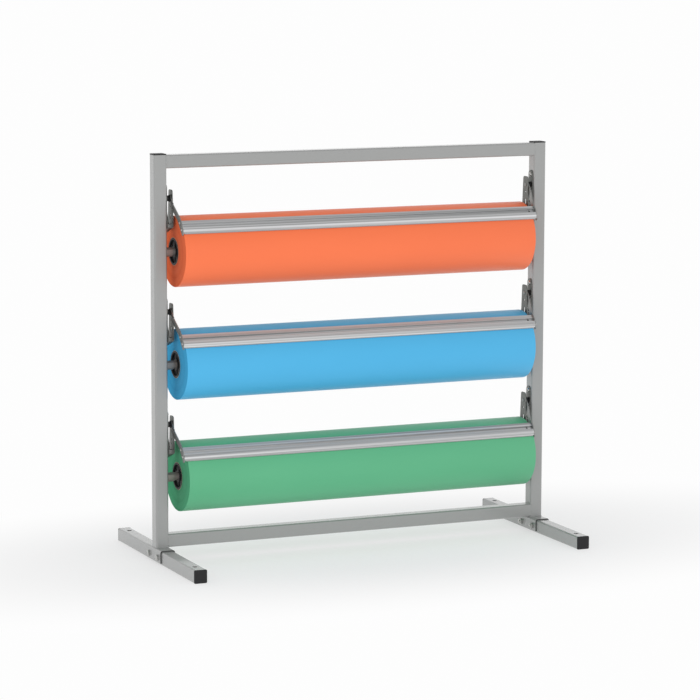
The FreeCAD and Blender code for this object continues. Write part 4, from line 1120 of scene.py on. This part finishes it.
# %% Floor
FLOOR_SIZE = 30.0
NEAR_GLOW, FADE_START, FADE_END = 0.5, 0.22, 0.75
NARROWED = (0.5, 1.0, 0.0)
floor_mesh = bpy.data.meshes.new("floor")
sheet = bmesh.new()
bmesh.ops.create_grid(sheet, x_segments=2, y_segments=2, size=FLOOR_SIZE / 2)
sheet.to_mesh(floor_mesh)
sheet.free()
floor = bpy.data.objects.new("floor", floor_mesh)
bpy.context.scene.collection.objects.link(floor)

floor_finish, tree, shader = new_finish("studio_floor", (0.92, 0.922, 0.925), 0.8)
place = add(tree, "ShaderNodeTexCoord").outputs["Object"]
narrowed = add(tree, "ShaderNodeVectorMath", {"operation": "MULTIPLY"}, i0=place, i1=NARROWED)
distance = add(tree, "ShaderNodeVectorMath", {"operation": "LENGTH"}, i0=narrowed.outputs["Vector"])
fade = add(
    tree, "ShaderNodeMapRange", {"interpolation_type": "SMOOTHSTEP"},
    Value=distance.outputs["Value"],
)
set_range(fade, FADE_START, FADE_END, NEAR_GLOW)
glow = add(tree, "ShaderNodeEmission", Color=(0.985, 0.985, 0.985, 1), Strength=1.0)
mixed = add(
    tree, "ShaderNodeMixShader", Fac=fade.outputs["Result"], i1=shader.outputs["BSDF"],
    i2=glow.outputs["Emission"],
)
tree.links.new(mixed.outputs["Shader"], tree.nodes["Material Output"].inputs["Surface"])
floor_mesh.materials.append(floor_finish)
print("floor ready")

# %% [markdown]
# The air is white at the height of the eye and a little darker overhead, like a studio with white
# walls and a light grey ceiling, which gives the bright metal its light and dark bands. A large
# lamp in front lifts whatever faces it, and is kept out of the reflections.

# %% World
HORIZON, ZENITH, BACKDROP = 1.0, 0.6, 0.985
CEILING_START, CEILING_END = 0.1, 0.95
world = bpy.data.worlds.new("studio")
world.use_nodes = True
bpy.context.scene.world = world
air = world.node_tree
way = add(air, "ShaderNodeSeparateXYZ", Vector=add(air, "ShaderNodeTexCoord").outputs["Generated"])
height = add(
    air, "ShaderNodeMapRange", {"interpolation_type": "SMOOTHSTEP"}, Value=way.outputs["Z"]
)
set_range(height, CEILING_START, CEILING_END, HORIZON, ZENITH)
strength = add(
    air, "ShaderNodeMix", {"data_type": "FLOAT"}, A=height.outputs["Result"], B=BACKDROP,
    Factor=add(air, "ShaderNodeLightPath").outputs["Is Camera Ray"],
)
air.links.new(strength.outputs["Result"], air.nodes["Background"].inputs["Strength"])
air.nodes["Background"].inputs["Color"].default_value = (1, 1, 1, 1)
print("world ready")


# %% Lamp
def softbox(name, place, target, size, watts):
    """A square area lamp that points from its place to a target."""
    lamp = bpy.data.lights.new(name, "AREA")
    lamp.shape = "SQUARE"
    lamp.size = size
    lamp.energy = watts
    holder = bpy.data.objects.new(name, lamp)
    holder.location = place
    holder.rotation_mode = "QUATERNION"
    holder.rotation_quaternion = (Vector(target) - Vector(place)).to_track_quat("-Z", "Y")
    bpy.context.scene.collection.objects.link(holder)
    return holder


front = softbox("front_softbox", place=(-1.2, -5.0, 2.0), target=(0, 0, 0.5), size=3.5, watts=60)
front.visible_glossy = False
print("lamp:", front.name)

# %% [markdown]
# The camera stands a little to the left of the rack and slightly above it, far away with a long
# lens, so the uprights stay nearly parallel.

# %% Camera
AZIMUTH, ELEVATION, ROLL = math.radians(-23.427), math.radians(8.326), math.radians(0.145)
TARGET = Vector((-0.00523, 0.006, 0.47865))
DISTANCE = 7.6814
SENSOR_WIDTH, FOCAL_LENGTH = 36, 163.7
back = Vector((
    math.sin(AZIMUTH) * math.cos(ELEVATION), -math.cos(AZIMUTH) * math.cos(ELEVATION),
    math.sin(ELEVATION),
))
lens = bpy.data.cameras.new("camera")
lens.sensor_width = SENSOR_WIDTH
lens.lens = FOCAL_LENGTH
camera = bpy.data.objects.new("camera", lens)
bpy.context.scene.collection.objects.link(camera)
camera.location = TARGET + back * DISTANCE
turn = (-back).to_track_quat("-Z", "Y").to_matrix() @ Matrix.Rotation(ROLL, 3, "Z")
camera.rotation_euler = turn.to_euler()
bpy.context.scene.camera = camera
bpy.context.scene.view_settings.view_transform = "Standard"
print("camera at", [round(number, 3) for number in camera.location])
